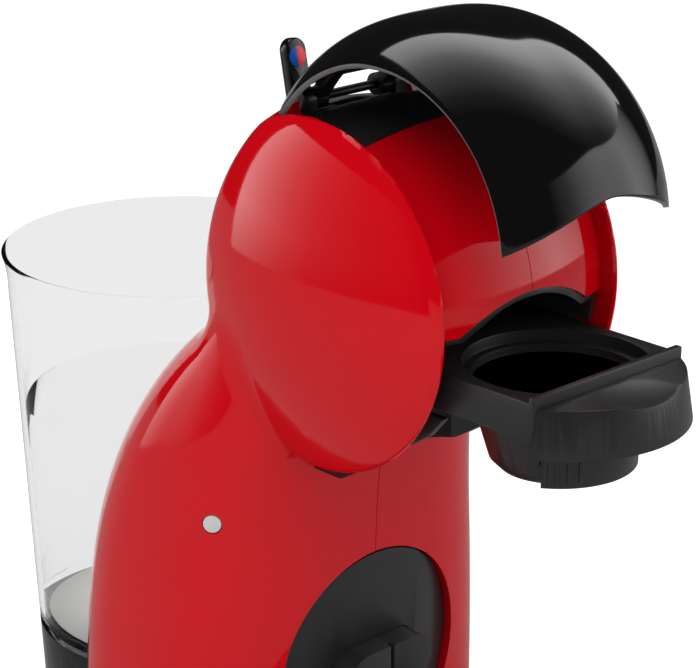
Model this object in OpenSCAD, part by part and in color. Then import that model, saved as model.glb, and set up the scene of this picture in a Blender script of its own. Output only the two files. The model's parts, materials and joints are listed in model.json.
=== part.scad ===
// Pod coffee machine: a drum-shaped head on an egg-shaped column, with a lift-up hood,
// a pull-out capsule holder, a lift-off water tank behind and a hang-on drip tray in front.
// Millimetres. +Z is up, the front faces -Y. Inside the modules y = 0 is the head's axis;
// at_origin() moves every piece so that y = 0 is the middle of the whole machine.

/* [Column] */
// Width of the column at its base
column_w = 140; // [136:1:146]
// Depth of the column at its base
column_d = 101; // [98:1:106]
// Distance of the column's front face behind the head's axis
column_front = 11.8; // [11:0.2:13]
// Wall of the red shells
wall = 2.5; // [2:0.1:3]
// Seam between the two red shells
seam = 0.3; // [0.1:0.1:0.6]
// Height of the rubber feet
foot_h = 3; // [2:0.5:4]
// Radius of a rubber foot
foot_r = 7; // [5:0.5:8]
// Thickness of the base plate
base_t = 3; // [2:0.5:4]

/* [Head] */
// Height of the head's axis
head_z = 210; // [206:1:214]
// Radius of the cheeks at their rims
head_r = 56; // [55:0.5:57]
// Half the distance between the two cheek rims
cheek_x = 38.4; // [38:0.2:40]
// Rise of each cheek's dome above its rim
cheek_dome = 17; // [14:0.2:22]
// Width of the step from the recessed face up to the cheek rim
rim_step = 1; // [0.6:0.1:1.4]
// How much lower the recessed face is at its sides than at its middle
face_crown = 6; // [4:0.5:6.5]
// Angle of the recessed face's top edge, measured forward of vertical
face_top = 18.4; // [15:0.2:22]

/* [Hood] */
// Half the hood's width
hood_x = 36.6; // [35:0.1:37]
// Radius of the hood's side edges
hood_edge_r = 51.7; // [51.5:0.1:52.5]
// Radius of the hood at its crest
hood_crest_r = 63; // [61:0.5:66]
// Wall of the hood at its crest
hood_wall = 2.2; // [1.8:0.1:2.6]
// Angle by which the hood closes from the open rest
hood_close = 27; // [25:0.5:28]
// Radius of the hood's hinge pin
hinge_pin_r = 1.5; // [1.2:0.1:2]

/* [Capsule drawer] */
// Width of the drawer
drawer_w = 65.6; // [62:0.2:66]
// Height of the drawer's top face
drawer_z = 197; // [196:0.5:198]
// Depth of the drawer's side wall
drawer_t = 12; // [10:0.5:13]
// Distance of the capsule seat in front of the head's axis
seat_y = 66; // [64:0.5:68]
// Radius of the capsule seat
seat_r = 28.5; // [28:0.1:28.8]
// Depth of the capsule seat
seat_t = 3.8; // [3:0.1:4.5]
// Depth of the cup under the drawer
cup_h = 21; // [18:0.5:22]
// How far the drawer slides in from the open rest
drawer_travel = 46; // [40:1:47]
// Radius of the grip's curved front
grip_r = 37.7; // [37:0.1:39]

/* [Water tank] */
// Distance of the hollow that takes the tank behind the head's axis
nest_y = 52.8; // [51:0.1:55]
// Radius of the tank just above the pedestal
tank_r = 51.8; // [50:0.1:52.5]
// Growth of the radius for each millimetre of height
tank_taper = 0.047; // [0.03:0.001:0.05]
// How far the lip stands out from the tank's wall
tank_lip = 1.37; // [0.8:0.01:2]
// Height of the tank's lip
tank_top = 192.5; // [180:0.5:200]
// Wall of the tank
tank_wall = 1.8; // [1.5:0.1:2.5]
// Height of the pedestal's deck
deck_z = 52.5; // [50:0.5:56]
// How far the tank is lifted to come off its seat
tank_lift = 60; // [30:1:100]

/* [Drip tray] */
// Height of the hanging disc's centre
disc_z = 69.3; // [66:0.1:72]
// Radius of the hanging disc
disc_r = 38.8; // [37:0.1:40]
// Width of the lug that carries the disc
lug_w = 37; // [34:0.5:40]
// Height of the lug
lug_h = 15; // [13:0.5:17]
// How far the lug stands out of the disc
lug_out = 8.5; // [6:0.5:10]
// Radius of the drip dish
dish_r = 46; // [42:0.5:50]
// Depth of the drip dish
dish_h = 28; // [22:1:30]

/* [Lever and button] */
// Length of the lever above its pivot
lever_l = 47; // [42:0.5:52]
// Width of the lever
lever_w = 8.4; // [7:0.1:9]
// Thickness of the lever
lever_t = 3.8; // [3:0.1:4.5]
// Backward lean of the lever
lever_lean = 11.5; // [8:0.5:14]
// Swing of the lever to each side
lever_swing = 20; // [10:1:22]
// Radius of the power button
button_r = 3; // [2.5:0.1:3.5]
// Travel of the power button
button_travel = 1.5; // [1:0.1:2]

/* [Hidden] */

slack = 0.3;               // gap between pieces that slide or are taken off
run_fit = 0.05;            // radial gap of a pin in its bore
mesh_gap = 0.5;            // gap between a loose panel and the shell around it
red = [0.77, 0.02, 0.06];
gloss_black = [0.03, 0.03, 0.035];
matt_black = [0.10, 0.10, 0.105];
steel = [0.75, 0.76, 0.78];
clear = [0.9, 0.95, 1.0, 0.3];

// ---- Column: superellipse sections stacked into an egg --------------------------------
egg_z = 40;                // the egg is widest up to here
egg_w_h = 206;             // height from there to where its width would close
egg_d_h = 172;             // height from there to where its depth would close
egg_p = 2.2;               // roundness of the egg seen from the side
sect_p = 2.4;              // roundness of a section seen from above
sect_n = 48;               // corners of a section
lean_z = 105;              // the front leans forward above here
lean_k = 0.0016;
column_foot = foot_h + 1;  // bottom edge of the shells
column_top = 196;          // the egg ends here, inside the head
column_levels = [column_foot, egg_z, 74, 100, 122, 142, 160, 176, column_top];

function egg(z, h) = pow(1 - pow(max(0, z - egg_z) / h, egg_p), 1 / egg_p);
function egg_a(z) = column_w / 2 * egg(z, egg_w_h);
function egg_b(z) = column_d / 2 * egg(z, egg_d_h);
function egg_front(z) = column_front - lean_k * pow(max(0, z - lean_z), 2);
function egg_y(z) = egg_front(z) + egg_b(z);
function spow(v, p) = sign(v) * pow(abs(v), p);
function section(a, b) = [for (i = [0:sect_n - 1]) let (t = 360 * i / sect_n)
    [a * spow(cos(t), 2 / sect_p), b * spow(sin(t), 2 / sect_p)]];

// one skin over a list of rings, each with the same number of points
module loft(rings) {
    n = len(rings);
    k = len(rings[0]);
    polyhedron([for (r = rings) each r], concat(
        [[for (j = [0:k - 1]) j]],
        [for (i = [0:n - 2], j = [0:k - 1]) [i * k + j, (i + 1) * k + j, i * k + (j + 1) % k]],
        [for (i = [0:n - 2], j = [0:k - 1]) [i * k + (j + 1) % k, (i + 1) * k + j, (i + 1) * k + (j + 1) % k]],
        [[for (j = [k - 1:-1:0]) (n - 1) * k + j]]));
}
module column_form(inset = 0, low = 0) {
    loft([for (z = column_levels) [for (p = section(egg_a(z) - inset, egg_b(z) - inset))
        [p[0], p[1] + egg_y(z), z == column_foot ? z - low : z]]]);
}

// ---- Head: two domed cheeks with a crowned, recessed face between them -----------------
dome_p = 0.8;
dome_steps = 12;
face_steps = 12;
face_x = cheek_x - rim_step;
rear_r = head_r + 24;      // flatter curve of the head's rear
rear_y = -30;              // its centre
rear_crown = 6;            // how far the rear stands out in its middle
barrel_a = 68;             // the rear's crown ends here, behind the hood
function barrel_r(x) = head_r + rear_crown * (1 - pow(x / cheek_x, 2));

function dome(r, R) = cheek_x + cheek_dome * pow(max(0, 1 - pow(r / R, 2)), dome_p);
function face_r(x) = head_r - face_crown * pow(x / face_x, 2);
function head_outline(inset) = let (R = head_r - inset) concat(
    [for (i = [0:dome_steps]) let (r = R * sin(90 * i / dome_steps)) [r, dome(r, head_r) - inset]],
    [for (i = [-face_steps:face_steps]) let (x = -face_x * i / face_steps) [face_r(x) - inset, x]],
    [for (i = [dome_steps:-1:0]) let (r = R * sin(90 * i / dome_steps)) [r, inset - dome(r, head_r)]]);

// turns a shape drawn in the (radius, x) plane about the x axis, from angle a0 to a1;
// 0 points to the rear and 90 up
module about_x(a0 = 0, a1 = 360, fn = 96) {
    rotate([0, 90, 0]) rotate([0, 0, 90 + a0]) rotate_extrude(angle = a1 - a0, $fn = fn) children();
}
module rod_x(r, l, fn = 48) { rotate([0, 90, 0]) cylinder(r = r, h = l, center = true, $fn = fn); }
module rod_y(r, y0, y1, fn = 48) {
    translate([0, y1, 0]) rotate([90, 0, 0]) cylinder(r = r, h = y1 - y0, $fn = fn);
}
module at_head() { translate([0, 0, head_z]) children(); }

// a strip of a crowned barrel between x = -half and half; out is how far it stands out
module barrel(half, out, a0, a1) {
    about_x(a0, a1) polygon(concat([[20, half], [20, -half]],
        [for (i = [-10:10]) let (x = half * i / 10) [barrel_r(x) + out, x]]));
}
module rear_limit(half, out) {
    translate([0, rear_y, 0]) about_x() polygon(concat([[0, half], [0, -half]],
        [for (i = [-14:14]) let (x = half * i / 14) [rear_r + out - rear_crown * pow(x / cheek_x, 2), x]]));
}
module head_form(inset = 0) {
    at_head() intersection() {
        union() {
            about_x() polygon(head_outline(inset));
            barrel(cheek_x - inset, -inset, inset - 40, barrel_a + 2);
        }
        rear_limit(cheek_x + cheek_dome + 2, -inset);
    }
}

// ---- The mouth: an arch over the drawer -------------------------------------------------
mouth_side_z = 207.3;      // height of the face's lower edge at its sides
arch_x = 28;
arch_h = 9.4;
arch_steps = 14;
function arch_line(x, out) = mouth_side_z + out
    + (arch_h * max(0, 1 - pow(x / (arch_x + out), 2)));
function arch_outline(half, low, out) = concat([[-half, low]],
    [[-half, mouth_side_z + out]],
    [for (i = [-arch_steps:arch_steps]) let (x = (arch_x + out) * i / arch_steps) [x, arch_line(x, out)]],
    [[half, mouth_side_z + out]], [[half, low]]);
module arch_prism(half, low, out, y0, y1) {
    translate([0, y1, 0]) rotate([90, 0, 0]) linear_extrude(y1 - y0) polygon(arch_outline(half, low, out));
}

// ---- Driving places worked out from the sizes -------------------------------------------
tank_lip_r = tank_out(tank_top) + tank_lip;
nest_r = tank_lip_r + 1.75;                // hollow of the column's rear, round the tank
tank_y = nest_y + nest_r;
cover_t = 2.5;
cover_top = 184;
drawer_x = drawer_w / 2;
drawer_low = drawer_z - drawer_t;
guide_in = drawer_x + slack;
guide_out = guide_in + 2.4;
guide_floor_t = 3;
guide_low = drawer_low - slack - guide_floor_t;
guide_back = 38;
cup_r = 25.5;                              // outside of the cup at its top
cup_low_r = 20;
cup_wall = 1.6;
cup_z = drawer_low - cup_h;
slot_r = cup_r + 1.5;                      // the slot that the cup slides through
slot_end = drawer_travel - seat_y;         // where the cup's axis stops
bar_y = -seat_y - 20;                      // the raised bar across the drawer's front
brew_y = slot_end;                         // the brew head's axis
grip_low = drawer_low - 4;                 // the grip's lower edge
grip_in = bar_y - 1.2 + drawer_travel + slack;  // the grip's back when the drawer is in
press_travel = 3.4;
hood_y = -25.25;
hood_a0 = 36.5;
hood_a1 = 173;
hinge_y = 24.9;
hinge_z = head_z + head_r - 2.3;
hood_z = hinge_z - 29.7;
pivot_y = head_r - 13.5;                   // the lever's pivot
pivot_z = 230;
pin_r = 1.5;
lug_front = column_front - lug_out;
dish_z = 6;
dish_y = column_front - dish_r - 3;
inlet_y = tank_y - 26;
inlet_r = 11;
hose_x = 28;                               // where the feed hose leaves the pedestal
hose_z = 22;
hose_hole_r = 6;
button_a = 40.6;                           // the button faces this far forward of -x
button_x = column_w / 2 - 13;
button_y = 27.5;
button_z = 131.5;
front_edge = seat_y + grip_r + 1.6 + 2.3;  // foremost point of the open drawer
y_mid = (tank_y + tank_lip_r - front_edge) / 2;

module at_origin() { translate([0, -y_mid, 0]) children(); }
module at_tank() { translate([0, tank_y, 0]) children(); }
module at_seat() { translate([0, -seat_y, 0]) children(); }
module at_hood() { translate([0, hood_y, hood_z]) children(); }
module at_lever() { translate([0, pivot_y, pivot_z]) rotate([-lever_lean, 0, 0]) children(); }
module at_button() {
    translate([-button_x, button_y, button_z]) rotate([0, 0, button_a]) rotate([0, -90, 0]) children();
}
module both_sides() { children(); mirror([1, 0, 0]) children(); }
module ring(r_out, r_in, h, fn = 64) {
    difference() {
        cylinder(r = r_out, h = h, $fn = fn);
        translate([0, 0, -1]) cylinder(r = r_in, h = h + 2, $fn = fn);
    }
}
// a hose: one swept skin along a route whose corners are cut twice to round them
hose_sides = 10;
function cut_corners(p) = concat([p[0]],
    [for (i = [0:len(p) - 2], k = [0.25, 0.75]) p[i] + k * (p[i + 1] - p[i])], [p[len(p) - 1]]);
function unit(v) = v / norm(v);
function heading(p, i) = unit(p[min(i + 1, len(p) - 1)] - p[max(i - 1, 0)]);
// a sideways direction carried along the route without twisting
function carried(v, t) = unit(v - (v * t) * t);
function sideways(p, i, v) = i == 0 ? [carried(v, heading(p, 0))]
    : let (w = sideways(p, i - 1, v)) concat(w, [carried(w[i - 1], heading(p, i))]);
module hose(route, r, start) {
    p = cut_corners(cut_corners(route));
    n = len(p);
    side = sideways(p, n - 1, start);
    loft([for (i = [0:n - 1]) let (t = heading(p, i)) [for (j = [0:hose_sides - 1]) let (a = 360 * j / hose_sides)
        p[i] + r * (cos(a) * side[i] + sin(a) * cross(t, side[i]))]]);
}
module bolt(l, r = 1.5, head = 2.8) {
    cylinder(r = r, h = l, $fn = 24);
    translate([0, 0, -1.6]) difference() {
        cylinder(r = head, h = 1.6, $fn = 24);
        translate([0, 0, -0.1]) cylinder(r = 1.2, h = 0.9, $fn = 6);
    }
}

// ---- Base --------------------------------------------------------------------------------
foot_places = [[-44, 36], [44, 36], [-30, tank_y + 30], [30, tank_y + 30]];
pedestal_low_r = tank_r - (deck_z - foot_h - base_t) * tank_taper;
module foot_holes(r, z, h) {
    for (p = foot_places) translate([p[0], p[1], z]) cylinder(r = r, h = h, $fn = 32);
}
module base_plate() {
    color(matt_black) difference() {
        union() {
            translate([0, egg_y(egg_z), foot_h]) linear_extrude(base_t)
                polygon(section(column_w / 2 - wall - mesh_gap, column_d / 2 - wall - mesh_gap));
            at_tank() translate([0, 0, foot_h]) cylinder(r = pedestal_low_r, h = base_t, $fn = 96);
        }
        foot_holes(3, foot_h - 1, base_t + 2);
    }
}
module rubber_feet() {
    color([0.15, 0.15, 0.15]) for (p = foot_places) translate([p[0], p[1], 0]) {
        cylinder(r1 = foot_r - 0.6, r2 = foot_r, h = foot_h, $fn = 32);
        cylinder(r = 3 - run_fit, h = foot_h + base_t, $fn = 32);
    }
}

// ---- Red shells --------------------------------------------------------------------------
module face_window() {
    // between the cheeks, from the recessed face's top edge to the rear's crown
    at_head() rotate([90, 0, 90]) linear_extrude(2 * face_x, center = true) polygon([[0, 0],
        [-120 * sin(face_top), 120 * cos(face_top)], [120 * cos(barrel_a), 120 * sin(barrel_a)]]);
    // and down the rear for the black cover
    at_head() rotate([90, 0, 90]) linear_extrude(2 * back_x, center = true) polygon([[-1, 0],
        [-1, 120], [120, 120], [120, -24], [-1, -24]]);
}
module shells() {
    difference() {
        union() { head_form(); column_form(); }
        head_form(wall);
        column_form(wall, 5);
        at_tank() translate([0, 0, -1]) cylinder(r = nest_r, h = 300, $fn = 128);
        translate([-face_x, -90, 140]) cube([2 * face_x, 90 + egg_front(140), mouth_side_z - 140]);
        arch_prism(face_x - 3, 150, 0, -90, 0);
        face_window();
        translate([0, 0, disc_z]) rod_y(disc_r + 0.7, -20, 40, 96);
        at_button() translate([0, 0, -8]) cylinder(r = button_r + slack, h = 20, $fn = 32);
    }
}
module body_shell_left() {
    color(red) intersection() {
        shells();
        translate([-200 - seam / 2, -150, -10]) cube([200, 400, 400]);
    }
}
module body_shell_right() {
    color(red) intersection() {
        shells();
        translate([seam / 2, -150, -10]) cube([200, 400, 400]);
    }
}

// ---- Black covers ------------------------------------------------------------------------
screw_places = [[-22, 60], [22, 60], [-22, 160], [22, 160]];
function cover_y(x) = tank_y - sqrt(pow(nest_r, 2) - x * x);
module rear_cover() {
    color(matt_black) difference() {
        intersection() {
            at_tank() difference() {
                translate([0, 0, foot_h + base_t]) cylinder(r = nest_r + cover_t, h = cover_top - foot_h - base_t, $fn = 128);
                cylinder(r = nest_r, h = 300, $fn = 128);
            }
            column_form(wall + mesh_gap, 5);
            translate([-80, -20, 0]) cube([160, tank_y + 20, 300]);
        }
        for (p = screw_places) translate([p[0], 0, p[1]]) rod_y(1.6, 40, 80, 24);
        translate([hose_x, 0, hose_z]) rod_y(hose_hole_r, 40, 80, 32);
    }
}
module rear_cover_screws() {
    color(steel) for (p = screw_places)
        translate([p[0], cover_y(abs(p[0]) + 2.8) + 0.1, p[1]]) rotate([90, 0, 0]) bolt(9);
}
deck_gap = 1;               // from the red face's inside down to the deck under the hood
deck_r = face_r(face_x) - wall - deck_gap;
deck_front = 142;           // it runs on forward under the red face
back_x = 24;                // half the opening for the cover over the head's rear
back_out = 0.4;             // the cover stands this proud
back_low = -24;
back_high = 56;
lever_slot = 11.5;
module rear_form(inset) {
    intersection() {
        barrel(back_x - slack, back_out - inset, -60, 120);
        rear_limit(back_x, back_out - inset);
    }
}
module head_back_cover() {
    color(gloss_black) resize([0, 0, 0]) difference() {
        at_head() difference() {
            rear_form(0);
            rear_form(cover_t);
            rotate([90, 0, 90]) linear_extrude(200, center = true) polygon([[0, 0],
                [100 * cos(back_low), 100 * sin(back_low)], [100, -100], [-100, -100], [-100, 100],
                [100 * cos(back_high), 100 * sin(back_high)]]);
        }
        at_lever() translate([-lever_slot, -lever_t, -5]) cube([2 * lever_slot, 2 * lever_t, 60]);
    }
}
deck_crest = 8.5;           // rise of the deck's crown under the hood
crown_back = 57;
crown_front = 90 + face_top - 0.9;
deck_x = face_x - slack;
function deck_out(x) = deck_r + 1.5 + (deck_crest - 1.5) * (1 - pow(abs(x) / deck_x, hood_p));
module head_top_deck() {
    color(matt_black) resize([0, 0, 0]) {
        difference() {
            at_head() {
                about_x(back_high - 3, deck_front) polygon([[deck_r - cover_t, -deck_x], [deck_r, -deck_x],
                    [deck_r, deck_x], [deck_r - cover_t, deck_x]]);
                about_x(crown_back, crown_front) polygon(concat([[deck_r - 1, deck_x], [deck_r - 1, -deck_x]],
                    [for (x = strip(8, deck_x)) [deck_out(x), x]]));
            }
            at_head() about_x(crown_back + cover_t, crown_front - cover_t) polygon(concat(
                [[deck_r - 8, deck_x - cover_t], [deck_r - 8, cover_t - deck_x]],
                [for (x = strip(8, deck_x - cover_t)) [deck_out(x) - cover_t, x]]));
            translate([0, brew_y, 230]) cylinder(r = stem_r + slack, h = stem_top + 2 * slack - 230, $fn = 48);
        }
        // the two hinge brackets
        both_sides() difference() {
            union() {
                translate([17, hinge_y, hinge_z]) rotate([0, 90, 0]) cylinder(r = 4, h = 5, $fn = 48);
                translate([17, hinge_y - 4, head_z + 36]) cube([5, 8, hinge_z - head_z - 36]);
            }
            translate([10, hinge_y, hinge_z]) rotate([0, 90, 0])
                cylinder(r = hinge_pin_r + run_fit, h = 20, $fn = 48);
        }
    }
}

// ---- Drawer guide and chin -----------------------------------------------------------------
module drawer_guide() {
    color(matt_black) difference() {
        intersection() {
            arch_prism(guide_out, guide_low, 0, -60, guide_back);
            at_head() about_x() polygon([[0, -face_x], [face_r(face_x) - 0.5, -face_x],
                [face_r(20) - 0.5, -20], [head_r - 0.5, 0], [face_r(20) - 0.5, 20],
                [face_r(face_x) - 0.5, face_x], [0, face_x]]);
        }
        arch_prism(guide_in, drawer_low - slack, -2, -80, guide_back - 2);
        // the slot for the cup
        translate([-slot_r, -80, guide_low - 10]) cube([2 * slot_r, 80 + slot_end, 15]);
        translate([0, slot_end, guide_low - 10]) cylinder(r = slot_r, h = 15, $fn = 64);
        // room for the grip when the drawer is in
        translate([-50, -90, 150]) cube([100, 90 + grip_in, drawer_z + slack - 150]);
        // the hole for the brew head
        translate([0, brew_y, 200]) cylinder(r = 25.2, h = 30, $fn = 64);
    }
}
module chin_guard() {
    chin_x = 30;
    color(matt_black) difference() {
        intersection() {
            rotate([90, 0, 90]) linear_extrude(2 * chin_x, center = true) polygon([
                [-48, grip_low - slack], [-42, guide_low - 8], [egg_front(140) - 0.4, 139.5],
                [egg_front(140) - 0.4, guide_low], [grip_in, guide_low], [grip_in, grip_low - slack]]);
            at_head() rod_x(90, 2 * chin_x, 96);
        }
        translate([-slot_r, -80, 120]) cube([2 * slot_r, 80 + slot_end, 90]);
        translate([0, slot_end, 120]) cylinder(r = slot_r, h = 90, $fn = 64);
    }
}

// ---- Hood ----------------------------------------------------------------------------------
hood_p = 3;
hood_edge_wall = 1.3;
hood_steps = 14;
function hood_r(x) = hood_edge_r + (hood_crest_r - hood_edge_r) * (1 - pow(abs(x) / hood_x, hood_p));
function hood_in(x) = hood_r(x) - hood_edge_wall
    - (hood_wall - hood_edge_wall) * (1 - pow(abs(x) / hood_x, 2));
function strip(n, half) = [for (i = [-n:n]) half * i / n];
front_arch = 12.8;          // rise of the hood's front edge at its middle
module hood_cover() {
    color(gloss_black) difference() {
        at_hood() about_x(hood_a0, hood_a1, 128) polygon(concat(
            [for (x = strip(hood_steps, hood_x)) [hood_r(x), x]],
            [for (x = strip(hood_steps, hood_x)) [hood_in(-x), -x]]));
        at_hood() rotate([90, 0, 0]) linear_extrude(120) polygon(concat([[hood_x + 1, -20], [-hood_x - 1, -20]],
            [for (x = strip(hood_steps, hood_x + 1))
                [x, 6.3 + front_arch * (1 - pow(abs(x) / (hood_x + 1), 1.6))]]));
    }
}
liner_x = 30;
liner_t = 1.4;
module hood_liner() {
    color(matt_black) resize([0, 0, 0]) {
        at_hood() about_x(hood_a0 + 6, hood_a1 - 26, 72) polygon(concat(
            [for (x = strip(8, liner_x)) [hood_in(x) - 0.1, x]],
            [for (x = strip(8, liner_x)) [hood_in(-x) - liner_t, -x]]));
        // hinge knuckles, each a lug under the hood's rear edge
        both_sides() difference() {
            union() {
                translate([11.5, hinge_y, hinge_z]) rotate([0, 90, 0]) cylinder(r = 3.6, h = 5, $fn = 48);
                at_hood() about_x(31, hood_a0 + 12) polygon([
                    [55.6, 11.5], [hood_in(16.5) - 0.8, 11.5], [hood_in(16.5) - 0.8, 16.5], [55.6, 16.5]]);
            }
            translate([5, hinge_y, hinge_z]) rotate([0, 90, 0])
                cylinder(r = hinge_pin_r + run_fit, h = 20, $fn = 48);
        }
    }
}
module hood_hinge_pin() {
    color(steel) translate([0, hinge_y, hinge_z]) rod_x(hinge_pin_r, 44);
}
module hood_latch() {
    // three ribs that press on the deck's stops
    color(matt_black) for (x = [-18, 0, 18])
        at_hood() about_x(118, 126) polygon([
            [hood_in(x) - liner_t - 1.8, x - 5], [hood_in(abs(x) + 5) - liner_t - 0.15, x - 5],
            [hood_in(abs(x) + 5) - liner_t - 0.15, x + 5], [hood_in(x) - liner_t - 1.8, x + 5]]);
}

// ---- Brew head -------------------------------------------------------------------------------
brew_low = 203;
brew_r = 24;
stem_r = 7;                 // the stem that the press pushes down
stem_top = 255;
screw_angles = [45:90:315];
module brew_head() {
    color(gloss_black) translate([0, brew_y, brew_low]) difference() {
        union() {
            rotate_extrude($fn = 96) polygon(concat([[0, 2]], [for (i = [0:8]) let (t = 90 * i / 8)
                [12 + 12 * sin(t), 8 - 8 * cos(t)]], [[brew_r, 12], [0, 12]]));
            cylinder(r = stem_r, h = stem_top - brew_low, $fn = 48);
            translate([0, 0, 12]) cylinder(r = 12, h = 10, $fn = 48);
        }
        translate([0, 0, -1]) cylinder(r = 1.5, h = 40, $fn = 32);
        for (a = screw_angles) rotate([0, 0, a]) translate([18, 0, 12 - 5]) cylinder(r = 1.5 + run_fit, h = 6, $fn = 24);
    }
}
module brew_seal() {
    color([0.6, 0.2, 0.15]) translate([0, brew_y, brew_low - 1.8]) ring(9, 6, 1.8);
}
module piercing_needle() {
    color(steel) translate([0, brew_y, brew_low - 2.4]) {
        cylinder(r1 = 0.2, r2 = 1.4, h = 4, $fn = 32);
        translate([0, 0, 4]) cylinder(r = 1.4, h = 20, $fn = 32);
    }
}
module brew_head_screws() {
    color(steel) for (a = screw_angles) translate([0, brew_y, brew_low + 12])
        rotate([0, 0, a]) translate([18, 0, 0]) mirror([0, 0, 1]) bolt(4.8);
}

// ---- Lever and its valve ----------------------------------------------------------------------
mark_r = 3.4;
module selector_lever() {
    color(gloss_black) at_lever() difference() {
        union() {
            rod_y(6, -lever_t / 2, lever_t / 2);
            translate([-lever_w / 2, -lever_t / 2, 0]) cube([lever_w, lever_t, lever_l - lever_w / 2]);
            translate([0, 0, lever_l - lever_w / 2]) rod_y(lever_w / 2, -lever_t / 2, lever_t / 2);
        }
        rod_y(pin_r + run_fit, -10, 10);
    }
}
module lever_mark(side) {
    at_lever() translate([0, -lever_t / 2, lever_l - lever_w / 2 - 2]) intersection() {
        rod_y(mark_r, -0.3, 0);
        translate([side > 0 ? 0 : -5, -1, -5]) cube([5, 2, 10]);
    }
}
module cold_mark() { color([0.0, 0.30, 0.75]) lever_mark(-1); }
module hot_mark() { color([0.9, 0.15, 0.15]) lever_mark(1); }
module lever_pin() { color(steel) at_lever() rod_y(pin_r, -14, lever_t / 2 + 1); }
module selector_valve() {
    color([0.85, 0.85, 0.83]) {
        at_lever() difference() {
            union() {
                translate([-9, -22, -9]) cube([18, 17.5, 16]);
                translate([0, -12, -11]) cylinder(r = 3.5, h = 4, $fn = 32);
                translate([0, 0, 0]) rotate([0, -90, 0]) translate([0, -12, 0]) cylinder(r = 3.2, h = 15, $fn = 32);
            }
            rod_y(pin_r + run_fit, -15, 10);
        }
    }
}

// ---- Capsule drawer -----------------------------------------------------------------------------
drawer_back = -12;
module capsule_drawer() {
    color(matt_black) difference() {
        union() {
            translate([-drawer_x, bar_y, drawer_low]) cube([drawer_w, drawer_back - bar_y, drawer_t]);
            translate([-drawer_x, bar_y - 1.2, drawer_low]) cube([drawer_w, 2.4, drawer_t + 2]);
        }
        difference() {
            at_seat() union() {
                translate([0, 0, drawer_z - seat_t]) cylinder(r = seat_r, h = 10, $fn = 96);
                translate([0, 0, drawer_z - seat_t - 2.5]) cylinder(r = 25.7, h = 10, $fn = 96);
                translate([0, 0, drawer_low - 1]) cylinder(r = cup_r - 0.6, h = 20, $fn = 96);
            }
            translate([-50, bar_y - 10, 150]) cube([100, 11.2, 60]);
        }
    }
}
module capsule_cup() {
    color(matt_black) intersection() {
        at_seat() union() {
            difference() {
                rotate_extrude($fn = 96) polygon([[4, cup_z], [cup_low_r - 3, cup_z], [cup_low_r, cup_z + 3],
                    [cup_r, drawer_low], [cup_r - cup_wall, drawer_low],
                    [cup_low_r - cup_wall, cup_z + 3 + cup_wall], [cup_low_r - 3 - cup_wall, cup_z + cup_wall],
                    [4, cup_z + cup_wall]]);
                translate([0, 0, cup_z - 1]) cylinder(r = 4.05, h = 4, $fn = 32);
            }
            // the splash shield round the cup's front
            difference() {
                translate([0, 0, cup_z + 2]) ring(cup_r, cup_r - cup_wall, cup_h - 2);
                translate([-50, -14, 100]) cube([100, 100, 120]);
            }
            for (a = [-150, -138, -42, -30]) rotate([0, 0, a]) translate([cup_low_r - 1, -0.7, cup_z + 8])
                cube([cup_r - cup_low_r, 1.4, cup_h - 8]);
        }
        translate([-50, -seat_y - 50, 100]) cube([100, 100, 100]);
    }
}
grip_y = -seat_y - 1.6;
module drawer_grip() {
    color(matt_black) difference() {
        translate([0, grip_y, 0]) difference() {
            translate([0, 0, grip_low]) cylinder(r1 = grip_r + 2.3, r2 = grip_r, h = drawer_t + 2.5, $fn = 128);
            // hollow from below
            translate([0, 0, drawer_low - 5]) cylinder(r1 = grip_r, r2 = grip_r - 2.3, h = drawer_t - 1.5, $fn = 128);
            // dished finger rest
            translate([0, -grip_r + 4, drawer_z + 52.6]) sphere(r = 56, $fn = 96);
        }
        translate([-60, bar_y - 1.2, 150]) cube([120, 120, 80]);
    }
}

// ---- Tank and pedestal ---------------------------------------------------------------------------
function tank_out(z) = tank_r + (z - deck_z) * tank_taper;
lip_z = tank_top - 6.5;
module tank_pedestal() {
    color(gloss_black) difference() {
        at_tank() difference() {
            translate([0, 0, foot_h + base_t]) cylinder(r1 = pedestal_low_r, r2 = tank_r,
                h = deck_z - foot_h - base_t, $fn = 96);
            translate([0, 0, foot_h]) cylinder(r1 = pedestal_low_r - wall, r2 = tank_r - wall,
                h = deck_z - foot_h - wall, $fn = 96);
        }
        translate([0, inlet_y, 30]) cylinder(r = inlet_r, h = 40, $fn = 64);
        translate([hose_x, 0, hose_z]) rod_y(hose_hole_r, 55, 90, 32);
        translate([0, 0, 20]) rod_y(5.5, tank_y + 30, tank_y + 70, 48);
    }
}
inlet_low = deck_z - 14;
module tank_inlet() {
    color([0.85, 0.85, 0.83]) translate([0, inlet_y, 0]) {
        difference() {
            translate([0, 0, inlet_low]) cylinder(r = inlet_r - run_fit, h = deck_z - inlet_low, $fn = 64);
            translate([0, 0, inlet_low + 2]) cylinder(r = 9.3, h = 20, $fn = 64);
            translate([4, 0, inlet_low - 1]) cylinder(r = 1.5, h = 10, $fn = 24);
        }
        translate([0, 0, inlet_low + 2]) cylinder(r = 1.5, h = 4.5, $fn = 32);
        translate([4, 0, inlet_low - 8]) ring(3, 1.5, 8, 32);
    }
}
module inlet_seal() {
    color([0.7, 0.25, 0.2]) translate([0, inlet_y, inlet_low + 5.5]) ring(9.2, 7.4, 2, 48);
}
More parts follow.
